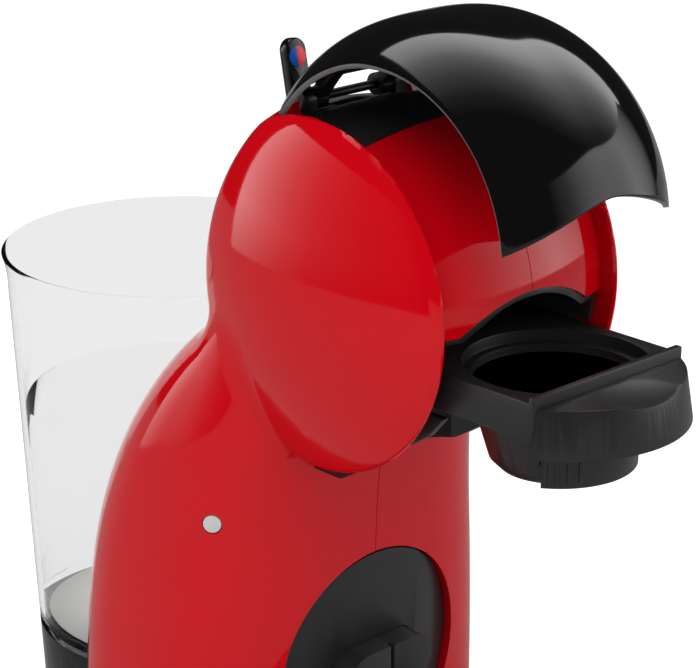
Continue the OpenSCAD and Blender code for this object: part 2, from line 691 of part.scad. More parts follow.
module water_tank() {
    color(clear) at_tank() difference() {
        rotate_extrude($fn = 128) polygon([[0, deck_z + slack], [tank_out(deck_z) - 2, deck_z + slack],
            [tank_out(deck_z + 2), deck_z + 2.3], [tank_out(lip_z), lip_z], [tank_lip_r, tank_top - 1],
            [tank_lip_r - 0.8, tank_top], [tank_lip_r - tank_wall, tank_top],
            [tank_out(lip_z) - tank_wall, lip_z - 1], [tank_out(deck_z) - tank_wall, deck_z + 4.5],
            [tank_out(deck_z) - tank_wall - 2, deck_z + 2.5], [0, deck_z + 2.5]]);
        translate([0, inlet_y - tank_y, 40]) cylinder(r = 6, h = 30, $fn = 48);
    }
}
module tank_outlet() {
    color(clear) translate([0, inlet_y, 0]) difference() {
        translate([0, 0, inlet_low + 8]) cylinder(r = 6 - run_fit, h = deck_z + 4 - inlet_low - 8, $fn = 48);
        translate([0, 0, inlet_low + 7]) cylinder(r = 2.6, h = 30, $fn = 32);
        translate([0, 0, deck_z]) cylinder(r = 4.6, h = 30, $fn = 32);
    }
}
module tank_strainer() {
    color([0.9, 0.9, 0.9]) translate([0, inlet_y, deck_z + 4]) difference() {
        cylinder(r = 8, h = 5, $fn = 48);
        translate([0, 0, -1]) cylinder(r = 6.6, h = 5, $fn = 48);
        for (a = [0:30:330]) rotate([0, 0, a]) translate([4.4, -0.5, 3]) cube([1.6, 1, 4]);
    }
}
module tank_valve_plug() {
    color([0.2, 0.35, 0.7]) translate([0, inlet_y, 0]) {
        translate([0, 0, inlet_low + 6.6]) cylinder(r = 2.2, h = deck_z - inlet_low - 4.4, $fn = 32);
        translate([0, 0, deck_z + 2.1]) cylinder(r = 4.2, h = 1.8, $fn = 48);
    }
}

// ---- Drip tray -------------------------------------------------------------------------------------
module pill(w, h, y0, y1) {
    translate([0, 0, disc_z]) for (s = [-1, 1]) translate([s * (w - h) / 2, 0, 0]) rod_y(h / 2, y0, y1);
    translate([-(w - h) / 2, y0, disc_z - h / 2]) cube([w - h, y1 - y0, h]);
}
disc_t = 4;
mount_t = 2.5;
module tray_mount() {
    color(matt_black) resize([0, 0, 0]) {
        difference() {
            intersection() {
                translate([0, 0, disc_z]) rod_y(disc_r + 5, 0, 60, 96);
                difference() { column_form(wall + 0.1); column_form(disc_t + slack + mount_t); }
            }
            difference() {
                translate([0, 0, disc_z]) rod_y(disc_r + 0.7, 0, 60, 96);
                column_form(disc_t + slack);
            }
        }
        difference() {
            pill(lug_w, lug_h, lug_front, column_front + disc_t + slack + 1);
            pill(lug_w - 5, lug_h - 5, lug_front + 2, 60);
            translate([-0.8, lug_front - 1, disc_z - lug_h]) cube([1.6, 3.5, 2 * lug_h]);
        }
    }
}
module drip_disc() {
    color([0.13, 0.13, 0.13]) resize([0, 0, 0]) difference() {
        intersection() {
            translate([0, 0, disc_z]) rod_y(disc_r, 0, 60, 96);
            difference() { column_form(0.1); column_form(disc_t); }
        }
        pill(lug_w + 2 * slack, lug_h + 2 * slack, -20, 40);
    }
}
module drip_dish() {
    color([0.13, 0.13, 0.13]) translate([0, dish_y, dish_z]) {
        difference() {
            union() {
                cylinder(r1 = dish_r - 4, r2 = dish_r, h = dish_h, $fn = 96);
                // the neck that hangs the dish on the disc
                translate([-14, dish_r - 8, 6]) cube([28, column_front - slack - dish_y - dish_r + 8, dish_h + 4]);
            }
            translate([0, 0, 2]) cylinder(r1 = dish_r - 6, r2 = dish_r - 2, h = dish_h, $fn = 96);
            translate([0, 0, dish_h + 1]) cylinder(r = dish_r - 2, h = 20, $fn = 96);
        }
    }
}
module drip_grille() {
    color(steel) translate([0, dish_y, dish_z + dish_h - 2.3]) difference() {
        cylinder(r = dish_r - 2.9, h = 2, $fn = 96);
        for (x = [-32:8:32]) translate([x - 2, -sqrt(pow(dish_r - 8, 2) - x * x), -1])
            cube([4, 2 * sqrt(pow(dish_r - 8, 2) - x * x), 4]);
    }
}

// ---- Inside ------------------------------------------------------------------------------------------
pump_z = 34;
pump_y = 34.8;
module pump_body() {
    color([0.25, 0.25, 0.27]) difference() {
        translate([-20, pump_y - 14.5, pump_z - 15]) cube([32, 29, 30]);
        translate([0, pump_y, pump_z]) rod_x(9.05, 100);
    }
}
module pump_tube() {
    color([0.9, 0.88, 0.8]) translate([0, pump_y, pump_z]) difference() {
        union() {
            translate([-4, 0, 0]) rod_x(9, 52);
            translate([26, 0, 0]) rod_x(5, 10);
            translate([-35, 0, 0]) rod_x(4, 12);
        }
        rod_x(1.6, 120, 24);
    }
}
module pump_mounts() {
    color([0.12, 0.12, 0.12]) for (x = [-26, 18]) difference() {
        translate([x - 3, pump_y - 13, foot_h + base_t]) cube([6, 26, pump_z + 3]);
        translate([x, pump_y, pump_z]) rod_x(x > 0 ? 9.05 : 9.05, 20);
    }
}
heater_z = 84;
heater_y = 34;
module heater_block() {
    color([0.7, 0.71, 0.73]) difference() {
        translate([-32, heater_y - 11, heater_z]) cube([64, 22, 60]);
        for (x = [-18, 18]) translate([x, heater_y, heater_z - 1]) cylinder(r = 4.05, h = 62, $fn = 32);
    }
    color([0.7, 0.71, 0.73]) for (x = [-24, 24])
        translate([x - 3, heater_y + 11, heater_z + 8]) cube([6, tank_y - sqrt(pow(nest_r + cover_t, 2) - 21 * 21) - slack - heater_y - 11, 44]);
}
module heater_tube() {
    color(steel) for (x = [-18, 18]) translate([x, heater_y, heater_z - 8]) cylinder(r = 4, h = 76, $fn = 32);
}
module thermostat() {
    color([0.1, 0.1, 0.1]) translate([0, heater_y, heater_z + 60]) {
        cylinder(r = 8, h = 6, $fn = 48);
        for (x = [-5, 5]) translate([x - 1.5, -0.4, 6]) cube([3, 0.8, 7]);
    }
}
board_x = column_w / 2 - 24;
board_low = 76;
module control_board() {
    color([0.05, 0.35, 0.15]) {
        translate([board_x, 30, board_low]) cube([1.6, 32, 56]);
        // its two legs stand on the base plate
        for (y = [32, 56]) translate([board_x, y, foot_h + base_t]) cube([1.6, 4, board_low - foot_h - base_t]);
    }
}
module board_parts() {
    color([0.1, 0.1, 0.1]) {
        translate([board_x + 1.6, 34, 84]) cube([9, 14, 18]);
        translate([board_x + 1.6, 40, 112]) rotate([0, 90, 0]) cylinder(r = 5, h = 8, $fn = 32);
        translate([board_x + 1.6, 52, 84]) rotate([0, 90, 0]) cylinder(r = 4, h = 7, $fn = 32);
    }
}
module power_switch() {
    color([0.1, 0.1, 0.1]) at_button() {
        translate([-5, -5, -16]) cube([10, 10, 8]);
        translate([-7, -11, -18]) cube([14, 22, 2]);
        for (y = [-9, 9]) translate([0, y, -16]) cylinder(r = 1.8, h = 9.8, $fn = 24);
    }
}
module power_button() {
    color([0.8, 0.8, 0.8]) at_button() {
        translate([0, 0, -5.6]) cylinder(r = button_r, h = 5, $fn = 48);
        translate([0, 0, -5.6]) cylinder(r = button_r + 1, h = 1, $fn = 48);
        translate([0, 0, -8 + button_travel + slack]) cylinder(r = 1.4, h = 3, $fn = 32);
    }
}
valve_y = pivot_y - 12 * cos(lever_lean);    // the side port of the valve
valve_z = pivot_z + 12 * sin(lever_lean);
module feed_hose() {
    color([0.9, 0.9, 0.88]) hose([[4, inlet_y, inlet_low - 8], [4, inlet_y, hose_z], [hose_x, 78, hose_z],
        [hose_x, 50, hose_z], [40, 44, 25], [42, pump_y, pump_z], [31, pump_y, pump_z]], 2.9, [1, 0, 0]);
}
module pump_hose() {
    color([0.9, 0.9, 0.88]) hose([[-41, pump_y, pump_z], [-50, pump_y, pump_z], [-46, heater_y, 62],
        [-18, heater_y, 58], [-18, heater_y, heater_z - 8]], 2.6, [0, 1, 0]);
}
module brew_hose() {
    color([0.95, 0.95, 0.95]) hose([[18, heater_y, heater_z + 68], [18, heater_y, 164], [0, 42, 176],
        [-28, pivot_y - 2, 190], [-30, pivot_y - 2, 222], [-27, valve_y, valve_z], [-15, valve_y, valve_z]], 2.2, [1, 0, 0]);
}
module cord_gland() {
    color(matt_black) at_tank() translate([0, 0, 20]) {
        difference() {
            union() {
                rod_y(5.4, pedestal_low_r - 6, pedestal_low_r + 4);
                rod_y(8, pedestal_low_r - 6, pedestal_low_r - 3.4);
            }
            rod_y(3.2, 0, 80);
        }
    }
}

at_origin() base_plate();
at_origin() rubber_feet();
at_origin() body_shell_left();
at_origin() body_shell_right();
at_origin() rear_cover();
at_origin() rear_cover_screws();
at_origin() head_back_cover();
at_origin() head_top_deck();
at_origin() drawer_guide();
at_origin() chin_guard();
at_origin() hood_hinge_pin();
at_origin() hood_cover();
at_origin() hood_liner();
at_origin() hood_latch();
at_origin() brew_head();
at_origin() brew_seal();
at_origin() piercing_needle();
at_origin() brew_head_screws();
at_origin() selector_lever();
at_origin() cold_mark();
at_origin() hot_mark();
at_origin() lever_pin();
at_origin() selector_valve();
at_origin() capsule_drawer();
at_origin() capsule_cup();
at_origin() drawer_grip();
at_origin() tank_pedestal();
at_origin() tank_inlet();
at_origin() inlet_seal();
at_origin() water_tank();
at_origin() tank_outlet();
at_origin() tank_strainer();
at_origin() tank_valve_plug();
at_origin() tray_mount();
at_origin() drip_disc();
at_origin() drip_dish();
at_origin() drip_grille();
at_origin() pump_body();
at_origin() pump_tube();
at_origin() pump_mounts();
at_origin() heater_block();
at_origin() heater_tube();
at_origin() thermostat();
at_origin() control_board();
at_origin() board_parts();
at_origin() power_switch();
at_origin() power_button();
at_origin() feed_hose();
at_origin() pump_hose();
at_origin() brew_hose();
at_origin() cord_gland();
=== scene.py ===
# %% [markdown]
# # Dressing a pod coffee machine
# The machine was first modelled as engineering solids, which fix where everything is and how it moves.
# In this lesson those solids are loaded as a frame, and the parts that the eye rests on are remade
# with smooth surfaces, fine edges and procedural plastics. All sizes below are in millimetres, and
# one helper turns them into Blender's metres.

# %% Load the frame
import json
import math

import bmesh
import bpy
import numpy as np
from mathutils import Matrix, Vector

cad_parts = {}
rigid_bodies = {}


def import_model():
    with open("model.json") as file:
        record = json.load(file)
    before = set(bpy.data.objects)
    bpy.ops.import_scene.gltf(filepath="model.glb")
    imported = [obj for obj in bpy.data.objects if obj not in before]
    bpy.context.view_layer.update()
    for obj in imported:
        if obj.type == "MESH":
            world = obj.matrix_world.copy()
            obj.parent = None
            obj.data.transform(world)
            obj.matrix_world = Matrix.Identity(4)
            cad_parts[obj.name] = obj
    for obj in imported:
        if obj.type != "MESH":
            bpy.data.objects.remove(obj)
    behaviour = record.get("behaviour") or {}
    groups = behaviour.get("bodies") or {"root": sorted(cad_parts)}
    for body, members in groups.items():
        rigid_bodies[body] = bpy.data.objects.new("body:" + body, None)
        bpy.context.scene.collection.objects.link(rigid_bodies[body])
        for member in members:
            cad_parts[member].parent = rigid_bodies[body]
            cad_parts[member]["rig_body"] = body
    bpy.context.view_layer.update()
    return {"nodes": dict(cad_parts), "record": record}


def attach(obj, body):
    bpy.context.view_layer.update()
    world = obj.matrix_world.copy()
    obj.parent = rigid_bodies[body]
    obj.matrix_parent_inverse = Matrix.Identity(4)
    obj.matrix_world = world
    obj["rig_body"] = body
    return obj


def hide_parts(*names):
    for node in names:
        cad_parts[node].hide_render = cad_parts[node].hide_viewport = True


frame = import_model()
cad = frame["nodes"]

# %% [markdown]
# ## Two ways of counting along the depth
# The formulas of this machine are simplest when y = 0 runs through the head's axis. The frame has
# y = 0 at the middle of the whole machine instead, so each new mesh is shifted once, when it is made.

# %% Millimetres to metres
MM = 0.001
Y_MID = 33.225  # from the head's axis back to the middle of the whole machine


def to_frame(points):
    """Points in millimetres about the head's axis, as metres in the frame."""
    p = np.asarray(points, float).reshape(-1, 3)
    return (p - (0, Y_MID, 0)) * MM


def mesh_object(name, points, faces, material, smooth=True):
    mesh = bpy.data.meshes.new(name)
    mesh.from_pydata(to_frame(points).tolist(), [], [list(map(int, f)) for f in faces])
    mesh.materials.append(material)
    mesh.polygons.foreach_set("use_smooth", [smooth] * len(mesh.polygons))
    mesh.update()
    obj = bpy.data.objects.new(name, mesh)
    bpy.context.scene.collection.objects.link(obj)
    return obj


def finished(obj, body, slot, *nodes):
    """Says what a finished piece rides on and which solids it stands for; the slot argument is not used."""
    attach(obj, body)
    if nodes:
        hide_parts(*nodes)
    obj.data.calc_loop_triangles()
    print(f"{obj.name}: {len(obj.data.loop_triangles)} triangles")
    return obj


# %% [markdown]
# ## Effects that several plastics share
# Real moulded plastic is never one flat colour: its sheen drifts a little from place to place, and a
# fine spark-eroded grain breaks up reflections. Both effects are needed by most materials here, so
# each is a node group with named inputs, built once.

# %% Node group helpers
def new_group(name, inputs, outputs, kind="ShaderNodeTree"):
    tree = bpy.data.node_groups.new(name, kind)
    for label, socket, default in inputs:
        s = tree.interface.new_socket(label, in_out="INPUT", socket_type=socket)
        if default is not None:
            s.default_value = default
    for label, socket in outputs:
        tree.interface.new_socket(label, in_out="OUTPUT", socket_type=socket)
    return tree, tree.nodes.new("NodeGroupInput"), tree.nodes.new("NodeGroupOutput")


def add(tree, kind, inputs=None, **settings):
    """A node with its settings, its inputs set to values or linked from sockets."""
    node = tree.nodes.new(kind)
    for key, value in settings.items():
        setattr(node, key, value)
    for key, value in (inputs or {}).items():
        if isinstance(value, bpy.types.NodeSocket):
            tree.links.new(value, node.inputs[key])
        else:
            node.inputs[key].default_value = value
    return node


# %% The grain group
FLOAT, COLOR, VECTOR = "NodeSocketFloat", "NodeSocketColor", "NodeSocketVector"
grain, g_in, g_out = new_group(
    "moulded_grain",
    [("Grain Size", FLOAT, 0.4), ("Depth", FLOAT, 0.1), ("Roughness", FLOAT, 0.4), ("Unevenness", FLOAT, 0.1)],
    [("Roughness", FLOAT), ("Normal", VECTOR)],
)
where = add(grain, "ShaderNodeTexCoord").outputs["Object"]
per_metre = add(grain, "ShaderNodeMath", {0: 1.0, 1: g_in.outputs["Grain Size"]}, operation="DIVIDE")
per_metre = add(grain, "ShaderNodeMath", {0: per_metre.outputs[0], 1: 1000.0}, operation="MULTIPLY")
fine = add(grain, "ShaderNodeTexNoise", {"Vector": where, "Scale": per_metre.outputs[0], "Detail": 3.0})
broad = add(grain, "ShaderNodeTexNoise", {"Vector": where, "Scale": 38.0, "Detail": 4.0, "Roughness": 0.6})
swing = add(grain, "ShaderNodeMath", {0: broad.outputs["Fac"], 1: -0.5}, operation="ADD")
swing = add(grain, "ShaderNodeMath", {0: swing.outputs[0], 1: g_in.outputs["Unevenness"]}, operation="MULTIPLY")
rough = add(grain, "ShaderNodeMath", {0: swing.outputs[0], 1: g_in.outputs["Roughness"]}, operation="ADD")
bump = add(grain, "ShaderNodeBump", {
    "Strength": g_in.outputs["Depth"], "Distance": 0.0002, "Height": fine.outputs["Fac"]})
grain.links.new(rough.outputs[0], g_out.inputs["Roughness"])
grain.links.new(bump.outputs[0], g_out.inputs["Normal"])

# %% The tone group
tone, t_in, t_out = new_group(
    "tone_drift",
    [("Color", COLOR, (0.5, 0.5, 0.5, 1)), ("Drift", FLOAT, 0.1), ("Patch Size", FLOAT, 25.0)],
    [("Color", COLOR)],
)
where = add(tone, "ShaderNodeTexCoord").outputs["Object"]
per_metre = add(tone, "ShaderNodeMath", {0: 1000.0, 1: t_in.outputs["Patch Size"]}, operation="DIVIDE")
patches = add(tone, "ShaderNodeTexNoise", {"Vector": where, "Scale": per_metre.outputs[0], "Detail": 5.0})
centred = add(tone, "ShaderNodeMath", {0: patches.outputs["Fac"], 1: -0.5}, operation="ADD")
scaled = add(tone, "ShaderNodeMath", {0: centred.outputs[0], 1: t_in.outputs["Drift"]}, operation="MULTIPLY")
value = add(tone, "ShaderNodeMath", {0: scaled.outputs[0], 1: 1.0}, operation="ADD")
shifted = add(tone, "ShaderNodeHueSaturation", {"Color": t_in.outputs["Color"], "Value": value.outputs[0]})
tone.links.new(shifted.outputs[0], t_out.inputs["Color"])
print("shared effects:", grain.name, tone.name)


# %% [markdown]
# ## One plastic recipe, many finishes
# Every opaque finish is a Principled shader fed by the two groups. What differs is the colour, how
# polished the mould was, and whether a clear gloss lies on top.

# %% The recipe
FINISHES = {}
for old in list(bpy.data.materials):  # the frame's own flat colours make way for the finishes below
    bpy.data.materials.remove(old)


def finish(name, color, roughness, grain_mm=0.4, depth=0.1, uneven=0.08, drift=0.12, patch=25.0, **shader):
    mat = bpy.data.materials.new(name)
    mat.use_nodes = True
    tree = mat.node_tree
    bsdf = tree.nodes["Principled BSDF"]
    g = add(tree, "ShaderNodeGroup", node_tree=grain)
    for key, v in (("Grain Size", grain_mm), ("Depth", depth), ("Roughness", roughness), ("Unevenness", uneven)):
        g.inputs[key].default_value = v
    t = add(tree, "ShaderNodeGroup", node_tree=tone)
    t.inputs["Color"].default_value = (*color, 1)
    t.inputs["Drift"].default_value = drift
    t.inputs["Patch Size"].default_value = patch
    tree.links.new(t.outputs["Color"], bsdf.inputs["Base Color"])
    tree.links.new(g.outputs["Roughness"], bsdf.inputs["Roughness"])
    tree.links.new(g.outputs["Normal"], bsdf.inputs["Normal"])
    for key, v in shader.items():
        bsdf.inputs[key.replace("_", " ")].default_value = v
    FINISHES[name] = mat
    return mat


red_gloss = finish("red_gloss", (0.60, 0.0006, 0.006), 0.06, 0.9, 0.01, 0.03, 0.05, 40)
black_gloss = finish("black_gloss", (0.0035, 0.0035, 0.0036), 0.07, 0.9, 0.012, 0.04, 0.1, 30)
black_matt = finish("black_matt", (0.016, 0.016, 0.0165), 0.36, 0.35, 0.16, 0.1, 0.16, 14)
grey_matt = finish("grey_matt", (0.018, 0.018, 0.0185), 0.34, 0.35, 0.14, 0.08, 0.14, 16)
# The lighter grey below goes on the hood's rim: a painted highlight for the light that the black hood's edge catches.
grey_rim_painted_highlight = finish("grey_rim_painted_highlight", (0.16, 0.16, 0.165), 0.38, 0.35, 0.1, 0.1, 0.12, 14)
finish("rubber", (0.022, 0.022, 0.022), 0.75, 0.5, 0.25, 0.1, 0.2, 10)
steel = finish("steel", (0.62, 0.62, 0.63), 0.28, 0.25, 0.06, 0.12, 0.06, 12, Metallic=1.0)
finish("aluminium", (0.55, 0.56, 0.57), 0.42, 0.5, 0.2, 0.12, 0.08, 12, Metallic=1.0)
finish("white_plastic", (0.66, 0.65, 0.61), 0.4, 0.4, 0.08, 0.08, 0.06, 20)
silicone = finish("silicone", (0.72, 0.71, 0.67), 0.48, 0.5, 0.06, 0.1, 0.08, 18)
finish("red_silicone", (0.42, 0.06, 0.035), 0.5, 0.4, 0.1, 0.1, 0.1, 10)
blue_plastic = finish("blue_plastic", (0.0, 0.085, 0.43), 0.32, 0.4, 0.05, 0.05, 0.05, 10)
warm_red_plastic = finish("warm_red_plastic", (0.95, 0.045, 0.045), 0.32, 0.4, 0.05, 0.05, 0.05, 10)
pale_button = finish("pale_button", (0.60, 0.60, 0.59), 0.3, 0.4, 0.04, 0.05, 0.04, 10)
finish("board_green", (0.012, 0.10, 0.035), 0.35, 0.6, 0.2, 0.1, 0.15, 8)

# %% [markdown]
# ## Clear plastic and water
# Glass-like materials keep a plain transmission weight. The tank is blown clear plastic, a little
# cloudy from use, and the water inside is its own body with its own index of refraction.

# %% Clear materials
def clear_finish(name, color, ior, roughness, uneven):
    mat = finish(name, color, roughness, 3.0, 0.02, uneven, 0.02, 60, IOR=ior)
    mat.node_tree.nodes["Principled BSDF"].inputs["Transmission Weight"].default_value = 1.0
    return mat


clear = clear_finish("clear", (0.995, 0.995, 0.995), 1.06, 0.05, 0.02)
water = clear_finish("water", (0.96, 0.962, 0.962), 1.03, 0.0, 0.0)

slot_of = {s["node"]: s["material_slot"] for s in frame["record"]["subparts"]}
for node, obj in cad.items():
    obj.data.materials.clear()
    obj.data.materials.append(FINISHES[slot_of[node]])
print("finishes:", len(FINISHES))


# %% [markdown]
# ## A dressed copy of a solid
# Many solids already have the right shape and only lack what a mould gives them: tiny rounded edges
# that catch light. The solid's triangles are copied, merged and cleaned into real faces, and a Bevel
# modifier rounds every edge sharper than a limit.

# %% Dressing a solid
def plain_mesh(obj):
    """Turns an object's modifiers into its mesh."""
    bpy.context.view_layer.update()
    depsgraph = bpy.context.evaluated_depsgraph_get()
    mesh = bpy.data.meshes.new_from_object(obj.evaluated_get(depsgraph))
    obj.modifiers.clear()
    obj.data = mesh
    return obj


def smooth_by_angle(mesh, degrees):
    bm = bmesh.new()
    bm.from_mesh(mesh)
    for e in bm.edges:
        e.smooth = len(e.link_faces) == 2 and e.calc_face_angle(0) < math.radians(degrees)
    for f in bm.faces:
        f.smooth = True
    bm.to_mesh(mesh)
    bm.free()


def dressed(node, material, width=0.4, sharp=28, segments=2, name=None):
    bm = bmesh.new()
    bm.from_mesh(cad[node].data)
    bmesh.ops.remove_doubles(bm, verts=bm.verts, dist=2e-6)
    bmesh.ops.dissolve_limit(bm, angle_limit=math.radians(0.6), verts=bm.verts, edges=bm.edges)
    bmesh.ops.dissolve_degenerate(bm, dist=1e-6, edges=bm.edges)
    mesh = bpy.data.meshes.new(name or node + "_dressed")
    bm.to_mesh(mesh)
    bm.free()
    mesh.materials.append(material)
    obj = bpy.data.objects.new(mesh.name, mesh)
    bpy.context.scene.collection.objects.link(obj)
    bevel = obj.modifiers.new("soft edges", "BEVEL")
    bevel.limit_method = "ANGLE"
    bevel.angle_limit = math.radians(sharp)
    bevel.width = width * MM
    bevel.segments = segments
    bevel.use_clamp_overlap = True
    plain_mesh(obj)
    smooth_by_angle(obj.data, 35)
    slot = slot_of[node]
    body = cad[node]["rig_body"]
    return finished(obj, body, slot, node)


# %% [markdown]
# ## The red body
# On the real machine two glossy red shells meet on the centre line: a drum lying on its side, with
# domed cheeks, grows out of an egg-shaped column. The dome runs into the column with a tight crease
# at the front and a wide soft saddle at the back. Such a blend is easy to state as a formula: the
# distance to the drum and the distance to the column, joined by a smooth minimum. Rays cast from a
# point inside find that surface, one for each corner of a cube-shaped grid.

# %% The two shapes as distances
HEAD_Z, HEAD_R, CHEEK_X, DOME = 210.0, 56.0, 38.4, 17.0
COLUMN_A, COLUMN_B, FRONT_Y, FOOT_Z = 70.0, 50.5, 11.8, 4.0
FACE_X = CHEEK_X - 1.0
BARREL = 6.0  # how far the head's rear stands out in its middle


def egg(z, h):
    return (1 - (np.maximum(0, z - 40) / h) ** 2.2) ** (1 / 2.2)


def front_y(z):
    return FRONT_Y - 0.0016 * np.maximum(0, z - 105) ** 2


def face_r(x):
    return HEAD_R - 6.0 * (x / FACE_X) ** 2


def soft_step(v):
    v = np.clip(v, 0, 1)
    return v * v * (3 - 2 * v)


def drum(x, y, z, inset):
    """Distance to the drum: negative inside. Its rear is crowned like a barrel."""
    r = np.hypot(y, z - HEAD_Z)
    angle = np.degrees(np.arctan2(z - HEAD_Z, y))
    crown = soft_step((75 - angle) / 9) * soft_step((angle + 60) / 30)
    across = np.minimum(np.abs(x) / CHEEK_X, 1) ** 2
    R = HEAD_R + BARREL * crown * (1 - across) - inset
    t = np.maximum(0, np.abs(x) - CHEEK_X + inset) / DOME
    g = (r / R) ** 2 + t ** 1.25 - 1
    slope = np.hypot(2 * r / R ** 2, 1.25 / DOME * t ** 0.25) + 1e-3
    rear = np.hypot(y + 30, z - HEAD_Z) - (80 - BARREL * (x / CHEEK_X) ** 2 - inset)
    return smooth_max(g / slope, rear, 3.0)


def column(x, y, z, inset):
    zc = np.minimum(z, 211)
    a = COLUMN_A * egg(zc, 206) - inset
    b = COLUMN_B * egg(zc, 172) - inset
    u, along = np.abs(x) / a, (y - front_y(zc) - b - inset) / b
    v = np.abs(along)
    n = 2.4 + 0.75 * (along < 0) * soft_step((192 - zc) / 40)  # the front is squarer than the rear
    g = u ** n + v ** n - 1
    slope = n * np.hypot(u ** (n - 1) / a, v ** (n - 1) / b) + 1e-3
    return np.maximum(g / slope, z - 211)


def smooth_min(p, q, k):
    h = np.maximum(k - np.abs(p - q), 0) / k
    return np.minimum(p, q) - h * h * k / 4


def smooth_max(p, q, k):
    return -smooth_min(-p, -q, k)


def body_distance(x, y, z, inset=0.0):
    k = 2.5 + 6.5 * soft_step((y - 6) / 40)
    d = smooth_min(drum(x, y, z, inset), column(x, y, z, inset), k)
    if inset:  # the inside keeps clear of the recessed face and closes the cheeks' inner sides
        r = np.hypot(y, z - HEAD_Z)
        between = np.abs(x) < FACE_X + 2.6
        d = np.where(between, np.maximum(d, r - face_r(np.minimum(np.abs(x), FACE_X)) + inset), d)
        below = between & (z < 181) & (z > 139)
        d = np.where(below, np.maximum(d, front_y(z) + inset - y), d)
    return d


# %% Casting the rays
def cube_sphere(n):
    """Unit directions and quads of a cube whose sides are n by n, blown up to a sphere."""
    index, dirs, quads = {}, [], []
    line = np.tan(np.linspace(-math.pi / 4, math.pi / 4, n + 1))
    for axis in range(3):
        for sign in (-1, 1):
            ids = np.empty((n + 1, n + 1), int)
            for i in range(n + 1):
                for j in range(n + 1):
                    d = [0.0, 0.0, 0.0]
                    d[axis], d[(axis + 1) % 3], d[(axis + 2) % 3] = sign, line[i] * sign, line[j]
                    key = tuple(round(c, 6) for c in d)
                    if key not in index:
                        index[key] = len(dirs)
                        dirs.append(d)
                    ids[i, j] = index[key]
            for i in range(n):
                for j in range(n):
                    quads.append((ids[i, j], ids[i + 1, j], ids[i + 1, j + 1], ids[i, j + 1]))
    dirs = np.array(dirs)
    return dirs / np.linalg.norm(dirs, axis=1)[:, None], quads


EYE = np.array([0.37, 22.0, 158.0])  # every ray starts here, a little off the seam so that no corner lies on it


def cast(dirs, inset):
    steps = np.linspace(0, 230, 116)
    near = np.zeros(len(dirs))
    found = np.zeros(len(dirs), bool)
    for s in steps[1:]:
        p = EYE + dirs * s
        out = body_distance(*p.T, inset) > 0
        near = np.where(~found & ~out, s, near)
        found |= out
    far = near + steps[1]
    for _ in range(22):
        mid = (near + far) / 2
        out = body_distance(*(EYE + dirs * mid[:, None]).T, inset) > 0
        far, near = np.where(out, mid, far), np.where(out, near, mid)
    return EYE + dirs * near[:, None]


RAYS = 104
dirs, quads = cube_sphere(RAYS)
outer = cast(dirs, 0.0)
inner = cast(dirs, 2.5)
print("body surface:", len(quads), "quads, from", outer.min(0).round(1), "to", outer.max(0).round(1))

# %% [markdown]
# ## Cutters
# Everything that opens the shells is taken away by Boolean modifiers with closed cutter meshes: the
# recess of the face, the window above it, the arched mouth, the hollow for the tank, the round hole
# of the disc and the button's hole. Turned cutters are lathed from a profile, straight ones are
# extruded outlines.

# %% Lathe and extrusion
def lathe(name, profile, material, axis="z", centre=(0, 0, 0), steps=128, closed_profile=False, arc=None):
    """Turns (radius, along) points round an axis. Arc gives first and last angle in degrees."""
    prof = np.asarray(profile, float)
    full = arc is None
    angles = np.radians(np.linspace(*(arc or (0, 360)), steps + 1))
    if full:
        angles = angles[:-1]
    c, s = np.cos(angles)[:, None], np.sin(angles)[:, None]
    r, a = prof[:, 0][None], prof[:, 1][None]
    flat = np.broadcast_to(a, (len(angles), len(prof)))
    cols = {"z": (r * c, r * s, flat), "x": (flat, r * c, r * s), "y": (r * s, flat, r * c)}[axis]
    pts = np.stack([np.broadcast_to(v, flat.shape) for v in cols], -1).reshape(-1, 3) + centre
    m, n = len(angles), len(prof)
    faces = []
    for i in range(m if full else m - 1):
        k = (i + 1) % m
        for j in range(n if closed_profile else n - 1):
            q = (j + 1) % n
            faces.append((i * n + j, k * n + j, k * n + q, i * n + q))
    if not full:
        faces += [tuple(range(n)), tuple((m - 1) * n + j for j in reversed(range(n)))]
    return welded(mesh_object(name, pts, faces, material))


def extruded(name, outline, material, plane="yz", near=-1.0, far=1.0):
    """A straight prism over an outline in the given plane, from near to far along the third axis."""
    pts = []
    for depth in (near, far):
        for a, b in outline:
            pts.append({"yz": (depth, a, b), "xz": (a, depth, b), "xy": (a, b, depth)}[plane])
    n = len(outline)
    faces = [(i, (i + 1) % n, n + (i + 1) % n, n + i) for i in range(n)]
    faces += [tuple(reversed(range(n))), tuple(range(n, 2 * n))]
    return welded(mesh_object(name, pts, faces, material, smooth=False))


def welded(obj):
    """Merges doubled points, drops what has no area and points every face outwards."""
    bm = bmesh.new()
    bm.from_mesh(obj.data)
    bmesh.ops.remove_doubles(bm, verts=bm.verts, dist=1e-6)
    bmesh.ops.dissolve_degenerate(bm, dist=1e-7, edges=bm.edges)
    bmesh.ops.recalc_face_normals(bm, faces=bm.faces)
    bm.to_mesh(obj.data)
    bm.free()
    return obj


def cut(obj, *cutters):
    for cutter in cutters:
        mod = obj.modifiers.new("cut", "BOOLEAN")
        mod.operation = "DIFFERENCE"
        mod.solver = "EXACT"
        mod.object = cutter
    plain_mesh(obj)
    for cutter in cutters:
        bpy.data.objects.remove(cutter)
    return obj


# %% The shells before cutting
n_dirs = len(dirs)
flipped = [tuple(n_dirs + i for i in reversed(q)) for q in quads]
shell = mesh_object("red_body", np.vstack([outer, inner]), list(quads) + flipped, red_gloss)
bm = bmesh.new()
bm.from_mesh(shell.data)
bmesh.ops.recalc_face_normals(bm, faces=bm.faces)
bm.to_mesh(shell.data)
bm.free()

